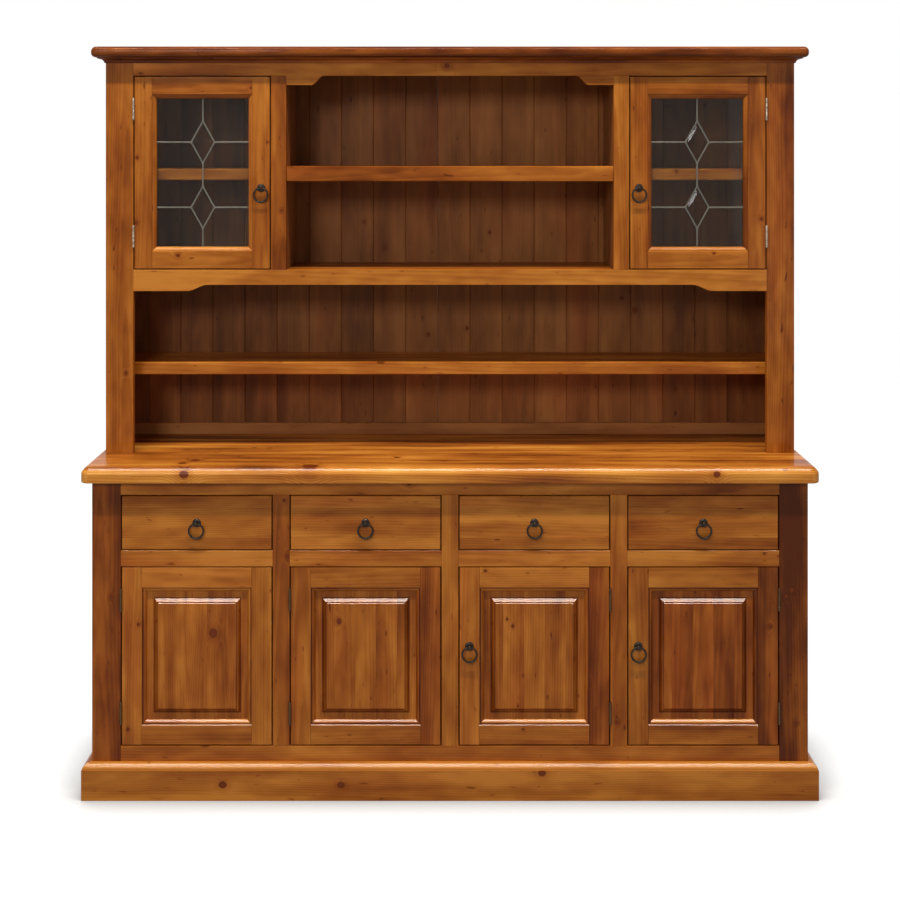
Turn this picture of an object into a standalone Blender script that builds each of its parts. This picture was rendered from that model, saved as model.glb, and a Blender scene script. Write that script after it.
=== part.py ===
"""Pine kitchen dresser: four drawers over four panelled doors, and a hutch with two leaded doors.

Metres, Z up, front towards -Y. The origin is on the floor, at the middle of the space that it fills.
"""

import math

import bmesh
import bpy
from mathutils import Matrix

# Clearances
GAP = 0.0003
SWING_GAP = 0.002
WELD = 0.00001
CUT_OVER = 0.002
ARRIS = 0.0015

# Base carcase: width over the posts, depth behind the face frame's front, boards
BASE_WIDTH = 1.994
BASE_DEPTH = 0.460
SIDE_THICKNESS = 0.020
FRAME_THICKNESS = 0.022
POST_WIDTH = 0.080
MULLION_WIDTH = 0.047
BAYS = 4
BASE_BACK_THICKNESS = 0.009
BASE_BOTTOM_THICKNESS = 0.020

# Base face frame, from the floor up
DOOR_OPENING_LOW = 0.142
DOOR_OPENING_HEIGHT = 0.500
BASE_MID_RAIL = 0.044
DRAWER_OPENING_HEIGHT = 0.155
BASE_TOP_RAIL = 0.038

# Worktop: overhangs past the base, thickness and the radii of its edges
WORKTOP_THICKNESS = 0.045
WORKTOP_FRONT_OVERHANG = 0.030
WORKTOP_SIDE_OVERHANG = 0.028
WORKTOP_TOP_RADIUS = 0.013
WORKTOP_UNDER_RADIUS = 0.006
WORKTOP_CORNER_RADIUS = 0.010
ROUND_SEGMENTS = 4

# Plinth: a moulded board round the front and both sides
PLINTH_THICKNESS = 0.024
PLINTH_FACE_HEIGHT = 0.084
PLINTH_FILLET = 0.002
PLINTH_OVOLO = 0.014
PLINTH_ARC_STEPS = 5

# Drawers: front, dovetailed box and the board that they run on
DRAWER_FRONT_THICKNESS = 0.022
DRAWER_BOX_HEIGHT = 0.130
DRAWER_BOX_DEPTH = 0.400
DRAWER_BOX_CLEARANCE = 0.0015
DRAWER_WALL = 0.012
DRAWER_BOTTOM_THICKNESS = 0.006
DRAWER_BOTTOM_RAISE = 0.008
DRAWER_BOARD_THICKNESS = 0.020
DRAWER_GUIDE_HEIGHT = 0.030

# Panelled doors of the base: frame members, moulded inner edge, groove and fielded panel
DOOR_THICKNESS = 0.022
PANEL_MEMBER = 0.057
PANEL_STICKING_WIDTH = 0.0125
PANEL_STICKING_DEPTH = 0.0105
STICKING_ARC_STEPS = 4
STICKING_QUIRK = 0.0012
GROOVE_DEPTH = 0.010
PANEL_TONGUE = 0.006
PANEL_PLAY = 0.001
PANEL_BORDER = 0.017
PANEL_RAISE_WIDTH = 0.012
PANEL_RAISE = 0.010

# Hutch: set back on the worktop
HUTCH_WIDTH = BASE_WIDTH
HUTCH_SETBACK = 0.158
HUTCH_POST_WIDTH = 0.080
MID_STILE_WIDTH = 0.045
GLAZED_OPENING_WIDTH = 0.398
OPEN_SECTION_HEIGHT = 0.487
HUTCH_MID_RAIL = 0.044
GLAZED_OPENING_HEIGHT = 0.562
HUTCH_TOP_RAIL = 0.052
MID_RAIL_DROP = 0.018
MID_RAIL_DROP_FLAT = 0.155
MID_RAIL_DROP_SLOPE = 0.060
ARCH_DROP = 0.027
ARCH_DROP_FLAT = 0.072
ARCH_DROP_SLOPE = 0.036
SHOULDER_STEPS = 6

# Boards inside the hutch: a cupboard's shelves stand above its floor, and the plate shelf above the worktop
BOARD_THICKNESS = 0.012
BACK_RECESS = 0.006
BOARD_PITCH = 0.0995
BOARD_JOINT_X = 0.062
BOARD_GROOVE_WIDTH = 0.006
BOARD_GROOVE_DEPTH = 0.003
SHELF_THICKNESS = 0.020
CENTRE_SHELF_HEIGHT = 0.300
CENTRE_SHELF_LIP = 0.044
CUPBOARD_SHELF_HEIGHT = 0.293
CUPBOARD_SHELF_LIP = 0.034
CUPBOARD_SHELF_SETBACK = 0.010
PLATE_SHELF_HEIGHT = 0.2526
PLATE_SHELF_LIP = 0.0356
PLATE_SHELF_SETBACK = 0.070
BACK_RAIL_HEIGHT = 0.036
BACK_RAIL_THICKNESS = 0.015

# Cornice: a round-edged top board over a bed mould
CORNICE_THICKNESS = 0.031
CORNICE_OVERHANG = 0.037
CORNICE_TOP_RADIUS = 0.012
CORNICE_UNDER_RADIUS = 0.008
BED_MOULD_HEIGHT = 0.015
BED_MOULD_PROJECTION = 0.020
BED_MOULD_EDGE = 0.003
BED_MOULD_STEPS = 4

# Glazed doors: frame, glass with two bevelled diamonds and the lead on its front
GLAZED_MEMBER = 0.052
GLAZED_STICKING_WIDTH = 0.012
GLAZED_STICKING_DEPTH = 0.0125
GLASS_THICKNESS = 0.004
GLASS_PLAY = 0.003
LEAD_THICKNESS = 0.001
LEAD_WIDTH = 0.0045
LEAD_PLAY = 0.005
CROSSING_ABOVE_CENTRE = 0.0885
CROSSING_BELOW_CENTRE = 0.101
DIAMOND_WIDTH = 0.068
DIAMOND_HEIGHT = 0.122
DIAMOND_RISE = 0.0022
DIAMOND_BEVEL = 0.007

# Butt hinges: five knuckles on a fixed pin, with one leaf on the frame and one on the door
HINGE_LENGTH = 0.063
KNUCKLES = 5
KNUCKLE_RADIUS = 0.0035
PIN_RADIUS = 0.0015
PIN_CLEARANCE = 0.0003
PIN_TIP = 0.001
HINGE_SIDES = 8
LEAF_WIDTH = 0.018
LEAF_LET_IN = 0.0006
BASE_HINGE_INSET = 0.090
HUTCH_HINGE_INSET = 0.095

# Ring pulls: a turned rose with a bored ball, and a ring that hangs through the bore
RING_RADIUS = 0.0205
RING_WIRE_RADIUS = 0.0025
RING_STEPS = 24
RING_WIRE_SIDES = 6
ROSE_RADIUS = 0.012
ROSE_RIM = 0.0012
ROSE_DOME = 0.0036
NECK_RADIUS = 0.0038
BALL_RADIUS = 0.0065
BALL_REACH = 0.011
BALL_STEPS = 5
ROSE_SIDES = 12
RING_BORE_RADIUS = 0.0037
BASE_PULL_ABOVE_OPENING = 0.278
GLAZED_PULL_ABOVE_OPENING = 0.237

# Which side each door of the base hangs on, from the left, and which of them have a pull
HUNG_ON = ("left", "left", "right", "right")
HAS_PULL = (False, False, True, True)

# Planes and levels that several pieces share
BACK_Y = (BASE_DEPTH + WORKTOP_FRONT_OVERHANG) / 2
BASE_FRONT_Y = BACK_Y - BASE_DEPTH
BASE_INSIDE_Y = BASE_FRONT_Y + FRAME_THICKNESS + GAP
BASE_BACK_Y = BACK_Y - BASE_BACK_THICKNESS
HUTCH_FRONT_Y = BASE_FRONT_Y + HUTCH_SETBACK
HUTCH_INSIDE_Y = HUTCH_FRONT_Y + FRAME_THICKNESS + GAP
BOARD_FRONT_Y = BACK_Y - BACK_RECESS - BOARD_THICKNESS
HALF_BASE = BASE_WIDTH / 2
HALF_HUTCH = HUTCH_WIDTH / 2
BASE_INSIDE_X = HALF_BASE - SIDE_THICKNESS - GAP
HUTCH_INSIDE_X = HALF_HUTCH - SIDE_THICKNESS - GAP
DOOR_OPENING_HIGH = DOOR_OPENING_LOW + DOOR_OPENING_HEIGHT
DRAWER_OPENING_LOW = DOOR_OPENING_HIGH + BASE_MID_RAIL
DRAWER_OPENING_HIGH = DRAWER_OPENING_LOW + DRAWER_OPENING_HEIGHT
BASE_HEIGHT = DRAWER_OPENING_HIGH + BASE_TOP_RAIL
WORKTOP_TOP = BASE_HEIGHT + WORKTOP_THICKNESS
HUTCH_FOOT = WORKTOP_TOP + GAP
HUTCH_MID_RAIL_LOW = WORKTOP_TOP + OPEN_SECTION_HEIGHT
GLAZED_OPENING_LOW = HUTCH_MID_RAIL_LOW + HUTCH_MID_RAIL
GLAZED_OPENING_HIGH = GLAZED_OPENING_LOW + GLAZED_OPENING_HEIGHT
CORNICE_LOW = GLAZED_OPENING_HIGH + HUTCH_TOP_RAIL
CENTRE_SHELF_TOP = GLAZED_OPENING_LOW + CENTRE_SHELF_HEIGHT
CUPBOARD_SHELF_TOP = GLAZED_OPENING_LOW + CUPBOARD_SHELF_HEIGHT
PLATE_SHELF_TOP = WORKTOP_TOP + PLATE_SHELF_HEIGHT
HUTCH_TOP = CORNICE_LOW - GAP
HALF_GLAZED_OUTER = HALF_HUTCH - HUTCH_POST_WIDTH
HALF_GLAZED_INNER = HALF_GLAZED_OUTER - GLAZED_OPENING_WIDTH
HALF_CENTRE = HALF_GLAZED_INNER - MID_STILE_WIDTH
BAY_WIDTH = (BASE_WIDTH - 2 * POST_WIDTH - (BAYS - 1) * MULLION_WIDTH) / BAYS
HINGE_PROUD = KNUCKLE_RADIUS + GAP

# Turns that bring a flat outline into the front plane or the side plane
TO_FRONT = (math.pi / 2, 0, 0)
TO_SIDE = (math.pi / 2, 0, math.pi / 2)
NO_TURN = (0, 0, 0)


def clear_scene():
    for old in list(bpy.data.objects):
        bpy.data.objects.remove(old, do_unlink=True)


def new_collection(name):
    made = bpy.data.collections.new(name)
    bpy.context.scene.collection.children.link(made)
    return made


def new_finish(name, colour, roughness, metallic=0.0, transmission=0.0):
    """A Principled material."""
    made = bpy.data.materials.new(name)
    made.use_nodes = True
    shader = made.node_tree.nodes["Principled BSDF"]
    shader.inputs["Base Color"].default_value = (*colour, 1)
    shader.inputs["Roughness"].default_value = roughness
    shader.inputs["Metallic"].default_value = metallic
    shader.inputs["Transmission Weight"].default_value = transmission
    return made


clear_scene()
DRESSER = new_collection("kitchen_dresser")
CUTTERS = new_collection("cutters")
PINE = new_finish("varnished_pine", (0.42, 0.15, 0.032), 0.35)
PINE_TOP = new_finish("worktop_pine", (0.55, 0.22, 0.055), 0.28)
PINE_INSIDE = new_finish("inside_pine", (0.16, 0.055, 0.016), 0.5)
PLAIN_WOOD = new_finish("drawer_wood", (0.55, 0.36, 0.18), 0.6)
IRON = new_finish("dark_iron", (0.035, 0.028, 0.024), 0.45, metallic=0.9)
GLASS = new_finish("clear_glass", (0.9, 0.95, 0.93), 0.02, transmission=1.0)
LEAD = new_finish("lead_came", (0.42, 0.42, 0.40), 0.4, metallic=0.8)


def add_part(name, mesh, finish, at=(0, 0, 0), turn=NO_TURN):
    """A piece of the dresser, in its own finish."""
    part = bpy.data.objects.new(name, mesh)
    part.location = at
    part.rotation_euler = turn
    if not mesh.materials:
        mesh.materials.append(finish)
    DRESSER.objects.link(part)
    return part


def add_tool(name, mesh, at=(0, 0, 0), turn=NO_TURN):
    """A shape that only cuts a piece, or is joined to one."""
    tool = bpy.data.objects.new(name, mesh)
    tool.location = at
    tool.rotation_euler = turn
    tool.hide_render = True
    tool.display_type = "WIRE"
    CUTTERS.objects.link(tool)
    return tool


def boolean(piece, tool, operation):
    step = piece.modifiers.new(tool.name, "BOOLEAN")
    step.operation = operation
    step.solver = "MANIFOLD"
    step.object = tool


def evaluated_mesh(piece):
    """The piece's mesh as its modifiers leave it, in its own axes."""
    bpy.context.view_layer.update()
    return bpy.data.meshes.new_from_object(piece.evaluated_get(bpy.context.evaluated_depsgraph_get()))


def settle(piece, *tools):
    """The finished mesh of a piece that is repeated, with the objects that made it removed."""
    mesh = evaluated_mesh(piece)
    for used in (piece, *tools):
        bpy.data.objects.remove(used, do_unlink=True)
    return mesh


def cuboid(low, high):
    """A mesh box between two corners."""
    mesh = bpy.data.meshes.new("box")
    bm = bmesh.new()
    centre = [(a + b) / 2 for a, b in zip(low, high)]
    size = [b - a for a, b in zip(low, high)]
    bmesh.ops.create_cube(bm, size=1, matrix=Matrix.Translation(centre) @ Matrix.Diagonal((*size, 1)))
    bm.to_mesh(mesh)
    bm.free()
    return mesh


def board(name, low, high, finish, arris=0.0):
    """A plain board between two corners, placed by its centre, with its arrises eased where they show."""
    centre = [(a + b) / 2 for a, b in zip(low, high)]
    half = [(b - a) / 2 for a, b in zip(low, high)]
    part = add_part(name, cuboid([-h for h in half], half), finish, centre)
    if arris:
        bevel = part.modifiers.new("eased_arrises", "BEVEL")
        bevel.width = arris
        bevel.segments = 1
        bevel.limit_method = "NONE"
    return part


def closed_mesh(curve):
    """A curve's surface as a closed mesh, with its caps welded to its sides."""
    carrier = add_tool(curve.name, curve)
    mesh = settle(carrier)
    bm = bmesh.new()
    bm.from_mesh(mesh)
    bmesh.ops.remove_doubles(bm, verts=bm.verts, dist=WELD)
    bmesh.ops.recalc_face_normals(bm, faces=bm.faces)
    bm.to_mesh(mesh)
    bm.free()
    return mesh


def flat_curve(name, loops, closed=True):
    """A 2D curve of straight-sided outlines."""
    curve = bpy.data.curves.new(name, "CURVE")
    curve.dimensions = "2D"
    for points in loops:
        spline = curve.splines.new("POLY")
        spline.points.add(len(points) - 1)
        for point, (x, y) in zip(spline.points, points):
            point.co = (x, y, 0, 1)
        spline.use_cyclic_u = closed
    return curve


def flat_solid(name, loops, thickness):
    """The first outline less the others, extruded by half the thickness both ways."""
    curve = flat_curve(name, loops)
    curve.fill_mode = "BOTH"
    curve.extrude = thickness / 2
    return closed_mesh(curve)


def moulding(name, profile, path, closed):
    """A section run along a flat path, with mitred corners."""
    section = add_tool("section", flat_curve("section", [profile]))
    run = flat_curve(name, [path], closed)
    run.fill_mode = "NONE"
    run.bevel_mode = "OBJECT"
    run.bevel_object = section
    run.use_fill_caps = not closed
    mesh = closed_mesh(run)
    bpy.data.objects.remove(section, do_unlink=True)
    return mesh


def rectangle(low_x, high_x, low_y, high_y):
    return [(low_x, low_y), (high_x, low_y), (high_x, high_y), (low_x, high_y)]


def circle(radius, sides):
    """A regular polygon whose flats lie on the radius."""
    corner = radius / math.cos(math.pi / sides)
    steps = [(i + 0.5) * 2 * math.pi / sides for i in range(sides)]
    return [(corner * math.cos(a), corner * math.sin(a)) for a in steps]


def inset(points, distance):
    """A convex outline, listed anticlockwise, with each side moved in by the distance."""
    moved = []
    count = len(points)
    for i, (x, y) in enumerate(points):
        before = unit(points[i - 1], (x, y))
        after = unit((x, y), points[(i + 1) % count])
        turn = before[0] * after[1] - before[1] * after[0]
        side = distance / turn
        moved.append((x + side * (after[0] - before[0]), y + side * (after[1] - before[1])))
    return moved


def unit(start, end):
    length = math.dist(start, end)
    return ((end[0] - start[0]) / length, (end[1] - start[1]) / length)


def raise_front(mesh, border, slope_width, rise):
    """Raises a flat front face, which points along +Z, inside a border, with a slope round it."""
    bm = bmesh.new()
    bm.from_mesh(mesh)
    front = max(bm.faces, key=lambda face: face.calc_center_median().z)
    if border:
        bmesh.ops.inset_region(bm, faces=[front], thickness=border, use_even_offset=True)
    bmesh.ops.inset_region(bm, faces=[front], thickness=slope_width, depth=rise, use_even_offset=True)
    bm.to_mesh(mesh)
    bm.free()
    return mesh


def round_edges(part, radii, largest):
    """Rounds a box's edges by the radius that radii(edge) gives each, none over the largest."""
    bm = bmesh.new()
    bm.from_mesh(part.data)
    weight = bm.edges.layers.float.new("bevel_weight_edge")
    for edge in bm.edges:
        edge[weight] = radii(edge) / largest
    bm.to_mesh(part.data)
    bm.free()
    bevel = part.modifiers.new("rounded_edges", "BEVEL")
    bevel.width = largest
    bevel.segments = ROUND_SEGMENTS
    bevel.limit_method = "WEIGHT"


def slab(name, low, high, finish, top_radius, under_radius, corner_radius):
    """A board with its front and side edges rounded, and its back edge left square."""
    part = board(name, low, high, finish)
    half_depth = (high[1] - low[1]) / 2

    def radii(edge):
        middle = (edge.verts[0].co + edge.verts[1].co) / 2
        upright = abs(edge.verts[0].co.z - edge.verts[1].co.z) > WELD
        if middle.y > half_depth - WELD:
            return 0.0
        if upright:
            return corner_radius
        return top_radius if middle.z > 0 else under_radius

    round_edges(part, radii, max(top_radius, under_radius, corner_radius))
    return part


def pivot(name, at):
    """An empty on the axis of a moving assembly."""
    made = bpy.data.objects.new(name, None)
    made.location = at
    DRESSER.objects.link(made)
    return made


def carry(carrier, *pieces):
    """Parents pieces to what carries them, and leaves them where they are."""
    bpy.context.view_layer.update()
    for piece in pieces:
        piece.parent = carrier
        piece.matrix_parent_inverse = carrier.matrix_world.inverted()


def bay_edges(bay):
    """Left and right edges of a bay of the base, counted from the left."""
    low = -HALF_BASE + POST_WIDTH + bay * (BAY_WIDTH + MULLION_WIDTH)
    return low, low + BAY_WIDTH


# Butt hinges


def knuckle_spans():
    """Low and high ends of the knuckles, from the bottom of the hinge up."""
    pitch = (HINGE_LENGTH + GAP) / KNUCKLES
    lows = [i * pitch - HINGE_LENGTH / 2 for i in range(KNUCKLES)]
    return [(low, low + pitch - GAP) for low in lows]


def leaf_mesh(knuckles, side):
    """A leaf with a tab to each of its knuckles: an outline in the side plane, as thick as half the gap."""
    front = HINGE_PROUD + GAP
    back = front + LEAF_WIDTH
    end = HINGE_LENGTH / 2
    tab_end = (PIN_RADIUS + PIN_CLEARANCE + KNUCKLE_RADIUS) / 2
    outline = [(front, -end), (back, -end), (back, end), (front, end)]
    for low, high in reversed([knuckle_spans()[i] for i in knuckles]):
        outline += [(front, high - GAP), (tab_end, high - GAP), (tab_end, low + GAP), (front, low + GAP)]
    thin = SWING_GAP / 2 + LEAF_LET_IN - GAP / 2
    leaf = add_tool("leaf", flat_solid("leaf", [outline], thin), turn=TO_SIDE)
    leaf.location.x = side * (GAP / 2 + thin / 2)
    return leaf


def fixed_half_mesh():
    """The half on the frame: the outer and middle knuckles in one with the pin, and their leaf."""
    outline = [(0, HINGE_LENGTH / 2 + PIN_TIP), (PIN_RADIUS, HINGE_LENGTH / 2 + PIN_TIP)]
    for low, high in reversed(knuckle_spans()[::2]):
        outline += [(PIN_RADIUS, high), (KNUCKLE_RADIUS, high), (KNUCKLE_RADIUS, low), (PIN_RADIUS, low)]
    outline += [(PIN_RADIUS, -HINGE_LENGTH / 2 - PIN_TIP), (0, -HINGE_LENGTH / 2 - PIN_TIP)]
    barrel = add_tool("fixed_half", turned_mesh(outline, HINGE_SIDES))
    leaf = leaf_mesh(range(0, KNUCKLES, 2), -1)
    boolean(barrel, leaf, "UNION")
    return settle(barrel, leaf)


def moving_half_mesh():
    """The half on the door: two bored knuckles and their leaf."""
    leaf = leaf_mesh(range(1, KNUCKLES, 2), 1)
    mesh = evaluated_mesh(leaf)
    mesh.transform(leaf.matrix_world)
    bpy.data.objects.remove(leaf)
    half = add_tool("moving_half", mesh)
    rings = [circle(KNUCKLE_RADIUS, HINGE_SIDES), circle(PIN_RADIUS + PIN_CLEARANCE, HINGE_SIDES)]
    knuckles = []
    for low, high in knuckle_spans()[1::2]:
        tube = add_tool("knuckle", flat_solid("knuckle", rings, high - low), (0, 0, (low + high) / 2))
        boolean(half, tube, "UNION")
        knuckles.append(tube)
    return settle(half, *knuckles)


def turned_mesh(outline, sides):
    """A turned shape: its outline of (radius, height) points, listed from the top down, revolved about Z."""
    mesh = bpy.data.meshes.new("outline")
    mesh.from_pydata([(r, 0, z) for r, z in outline], [(i, i + 1) for i in range(len(outline) - 1)], [])
    piece = add_tool("turning", mesh)
    screw = piece.modifiers.new("turned", "SCREW")
    screw.steps = sides
    screw.render_steps = sides
    screw.use_merge_vertices = True
    screw.merge_threshold = WELD
    return settle(piece)


def hang(frame, half, name, axis_x, axis_y, heights, side, carrier=None):
    """Joins the halves of a door's hinges to the frame or to the door."""
    turn = NO_TURN if side == "left" else (0, math.pi, 0)
    for place, height in zip(("low", "high"), heights):
        tool = add_tool(f"{name}_{place}", half, (axis_x, axis_y, height), turn)
        boolean(frame, tool, "UNION")
        if carrier:
            carry(carrier, tool)


# Ring pulls


def rose_mesh():
    """The rose, neck and ball, turned in one about Z, which points out of the face, and bored across."""
    waist = math.asin(NECK_RADIUS / BALL_RADIUS)
    outline = [(0, BALL_REACH + BALL_RADIUS)]
    for i in range(1, BALL_STEPS + 1):
        angle = (math.pi - waist) * i / BALL_STEPS
        outline.append((BALL_RADIUS * math.sin(angle), BALL_REACH + BALL_RADIUS * math.cos(angle)))
    outline += [(NECK_RADIUS, ROSE_DOME), (ROSE_RADIUS, ROSE_RIM), (ROSE_RADIUS, 0), (0, 0)]
    rose = add_tool("rose", turned_mesh(outline, ROSE_SIDES))
    bore = flat_solid("bore", [circle(RING_BORE_RADIUS, ROSE_SIDES)], 2 * (BALL_RADIUS + CUT_OVER))
    drill = add_tool("drill", bore, (0, 0, BALL_REACH), (0, math.pi / 2, 0))
    boolean(rose, drill, "DIFFERENCE")
    return settle(rose, drill)


def ring_mesh():
    """The ring, hanging from the origin in the front plane."""
    bpy.ops.mesh.primitive_torus_add(
        major_radius=RING_RADIUS,
        minor_radius=RING_WIRE_RADIUS,
        major_segments=RING_STEPS,
        minor_segments=RING_WIRE_SIDES,
    )
    ring = bpy.context.active_object
    mesh = ring.data
    bpy.data.objects.remove(ring, do_unlink=True)
    mesh.transform(Matrix.Translation((0, 0, -RING_RADIUS)) @ Matrix.Rotation(math.pi / 2, 4, "X"))
    return mesh


def add_pull(name, x, face_y, z, carrier):
    """A rose on a face, and its ring with its origin on the axis that it swings about."""
    rose = add_part(f"{name}_pull_rose", ROSE_MESH, IRON, (x, face_y - GAP, z), TO_FRONT)
    ring = add_part(f"{name}_ring", RING_MESH, IRON, (x, face_y - GAP - BALL_REACH, z))
    carry(carrier, rose, ring)


# Frames with a moulded inner edge


def member_profile(member, sticking_width, sticking_depth, groove_width):
    """Section of a door's stile or rail: x from its outer edge in, y from its front face back.

    Its inner edge has a quirk and an ovolo, and a groove straight behind them.
    """
    inner = member + sticking_width
    profile = [(0, 0), (member, 0), (member, -STICKING_QUIRK)]
    for i in range(STICKING_ARC_STEPS + 1):
        angle = math.pi / 2 * i / STICKING_ARC_STEPS
        across = (sticking_width - STICKING_QUIRK) * math.sin(angle)
        down = (sticking_depth - STICKING_QUIRK) * (1 - math.cos(angle))
        profile.append((member + STICKING_QUIRK + across, -STICKING_QUIRK - down))
    floor = inner - GROOVE_DEPTH
    far = sticking_depth + groove_width
    profile += [(floor, -sticking_depth), (floor, -far), (inner, -far)]
    return profile + [(inner, -DOOR_THICKNESS), (0, -DOOR_THICKNESS)]


def door_frame(name, low, high, face_y, profile, side, hinge_inset, carrier):
    """A door's stiles and rails in one, with the moving halves of its hinges."""
    half_width = (high[0] - low[0]) / 2
    half_height = (high[1] - low[1]) / 2
    path = rectangle(-half_width, half_width, -half_height, half_height)
    mesh = moulding(name, profile, path, closed=True)
    centre = ((low[0] + high[0]) / 2, face_y, (low[1] + high[1]) / 2)
    frame = add_part(name, mesh, PINE, centre, TO_FRONT)
    heights = (low[1] + hinge_inset, high[1] - hinge_inset)
    hang(frame, MOVING_HALF, f"{name}_leaf", carrier.location.x, carrier.location.y, heights, side, carrier)
    carry(carrier, frame)
    return frame


def hinge_x(low, high, side):
    """The hinge axis lies in the middle of the gap between a door and its opening."""
    return low + SWING_GAP / 2 if side == "left" else high - SWING_GAP / 2


def add_panel_door(number, side, has_pull):
    """A door of the base: frame, fielded panel and, where it has one, its pull."""
    name = f"base_door_{number}"
    low_x, high_x = bay_edges(number - 1)
    height = (DOOR_OPENING_LOW + DOOR_OPENING_HIGH) / 2
    carrier = pivot(f"{name}_pivot", (hinge_x(low_x, high_x, side), BASE_FRONT_Y - HINGE_PROUD, height))
    low = (low_x + SWING_GAP, DOOR_OPENING_LOW + SWING_GAP)
    high = (high_x - SWING_GAP, DOOR_OPENING_HIGH - SWING_GAP)
    groove = PANEL_TONGUE + 2 * GAP
    profile = member_profile(PANEL_MEMBER, PANEL_STICKING_WIDTH, PANEL_STICKING_DEPTH, groove)
    door_frame(f"{name}_frame", low, high, BASE_FRONT_Y, profile, side, BASE_HINGE_INSET, carrier)

    reach = GROOVE_DEPTH - PANEL_PLAY
    edge = PANEL_MEMBER + PANEL_STICKING_WIDTH - reach
    half_width = (high[0] - low[0]) / 2 - edge
    half_height = (high[1] - low[1]) / 2 - edge
    plate = cuboid((-half_width, -half_height, -PANEL_TONGUE), (half_width, half_height, 0))
    raise_front(plate, reach + PANEL_BORDER, PANEL_RAISE_WIDTH, PANEL_RAISE)
    centre = ((low[0] + high[0]) / 2, BASE_FRONT_Y + PANEL_STICKING_DEPTH + GAP, height)
    panel = add_part(f"{name}_panel", plate, PINE, centre, TO_FRONT)
    carry(carrier, panel)

    if has_pull:
        stile = low[0] if side == "right" else high[0] - PANEL_MEMBER
        z = DOOR_OPENING_LOW + BASE_PULL_ABOVE_OPENING
        add_pull(name, stile + PANEL_MEMBER / 2, BASE_FRONT_Y, z, carrier)


def quarries(half_width, low, high, upper, lower):
    """The outlines between the middles of the leads: two diamonds and three lights each side of them."""
    a, b = DIAMOND_WIDTH / 2, DIAMOND_HEIGHT / 2
    diamonds = [[(-a, z), (0, z - b), (a, z), (0, z + b)] for z in (upper, lower)]
    right = [
        [(0, upper + b), (a, upper), (half_width, upper), (half_width, high), (0, high)],
        [(0, lower + b), (a, lower), (half_width, lower), (half_width, upper), (a, upper), (0, upper - b)],
        [(0, low), (half_width, low), (half_width, lower), (a, lower), (0, lower - b)],
    ]
    left = [[(-x, z) for x, z in reversed(light)] for light in right]
    return diamonds, right + left


def add_glazed_door(name, low_x, high_x, side):
    """A door of the hutch: frame, glass with two bevelled diamonds, the lead on its front, and its pull."""
    height = (GLAZED_OPENING_LOW + GLAZED_OPENING_HIGH) / 2
    carrier = pivot(f"{name}_pivot", (hinge_x(low_x, high_x, side), HUTCH_FRONT_Y - HINGE_PROUD, height))
    low = (low_x + SWING_GAP, GLAZED_OPENING_LOW + SWING_GAP)
    high = (high_x - SWING_GAP, GLAZED_OPENING_HIGH - SWING_GAP)
    groove = LEAD_THICKNESS + GLASS_THICKNESS + 3 * GAP
    profile = member_profile(GLAZED_MEMBER, GLAZED_STICKING_WIDTH, GLAZED_STICKING_DEPTH, groove)
    door_frame(f"{name}_frame", low, high, HUTCH_FRONT_Y, profile, side, HUTCH_HINGE_INSET, carrier)

    x = (low[0] + high[0]) / 2
    half_sight = (high[0] - low[0]) / 2 - GLAZED_MEMBER - GLAZED_STICKING_WIDTH
    sight_low = low[1] + GLAZED_MEMBER + GLAZED_STICKING_WIDTH - height
    sight_high = -sight_low
    lead_y = HUTCH_FRONT_Y + GLAZED_STICKING_DEPTH + GAP + LEAD_THICKNESS / 2
    glass_y = lead_y + LEAD_THICKNESS / 2 + GAP + GLASS_THICKNESS

    diamonds, lights = quarries(
        half_sight + LEAD_WIDTH / 2,
        sight_low - LEAD_WIDTH / 2,
        sight_high + LEAD_WIDTH / 2,
        CROSSING_ABOVE_CENTRE,
        -CROSSING_BELOW_CENTRE,
    )
    tuck = GROOVE_DEPTH - LEAD_PLAY
    rim = rectangle(-half_sight - tuck, half_sight + tuck, sight_low - tuck, sight_high + tuck)
    holes = [inset(outline, LEAD_WIDTH / 2) for outline in diamonds + lights]
    lead = add_part(
        f"{name}_lead", flat_solid("lead", [rim, *holes], LEAD_THICKNESS), LEAD, (x, lead_y, height), TO_FRONT
    )

    cover = GROOVE_DEPTH - GLASS_PLAY
    sheet = cuboid(
        (-half_sight - cover, sight_low - cover, 0),
        (half_sight + cover, sight_high + cover, GLASS_THICKNESS),
    )
    glass = add_part(f"{name}_glass", sheet, GLASS, (x, glass_y, height), TO_FRONT)
    for place, outline in zip(("upper", "lower"), diamonds):
        shape = flat_solid("diamond", [inset(outline, LEAD_WIDTH / 2 + GAP)], GLASS_THICKNESS)
        raise_front(shape, 0, DIAMOND_BEVEL, DIAMOND_RISE)
        centre = (x, glass_y - GLASS_THICKNESS / 2 - GAP / 2, height)
        diamond = add_tool(f"{name}_{place}_diamond", shape, centre, TO_FRONT)
        boolean(glass, diamond, "UNION")
        carry(carrier, diamond)
    carry(carrier, lead, glass)

    stile = high[0] - GLAZED_MEMBER if side == "left" else low[0]
    z = GLAZED_OPENING_LOW + GLAZED_PULL_ABOVE_OPENING
    add_pull(name, stile + GLAZED_MEMBER / 2, HUTCH_FRONT_Y, z, carrier)


# Base


def base_hinge_heights():
    low = DOOR_OPENING_LOW + SWING_GAP + BASE_HINGE_INSET
    high = DOOR_OPENING_HIGH - SWING_GAP - BASE_HINGE_INSET
    return low, high


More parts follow.
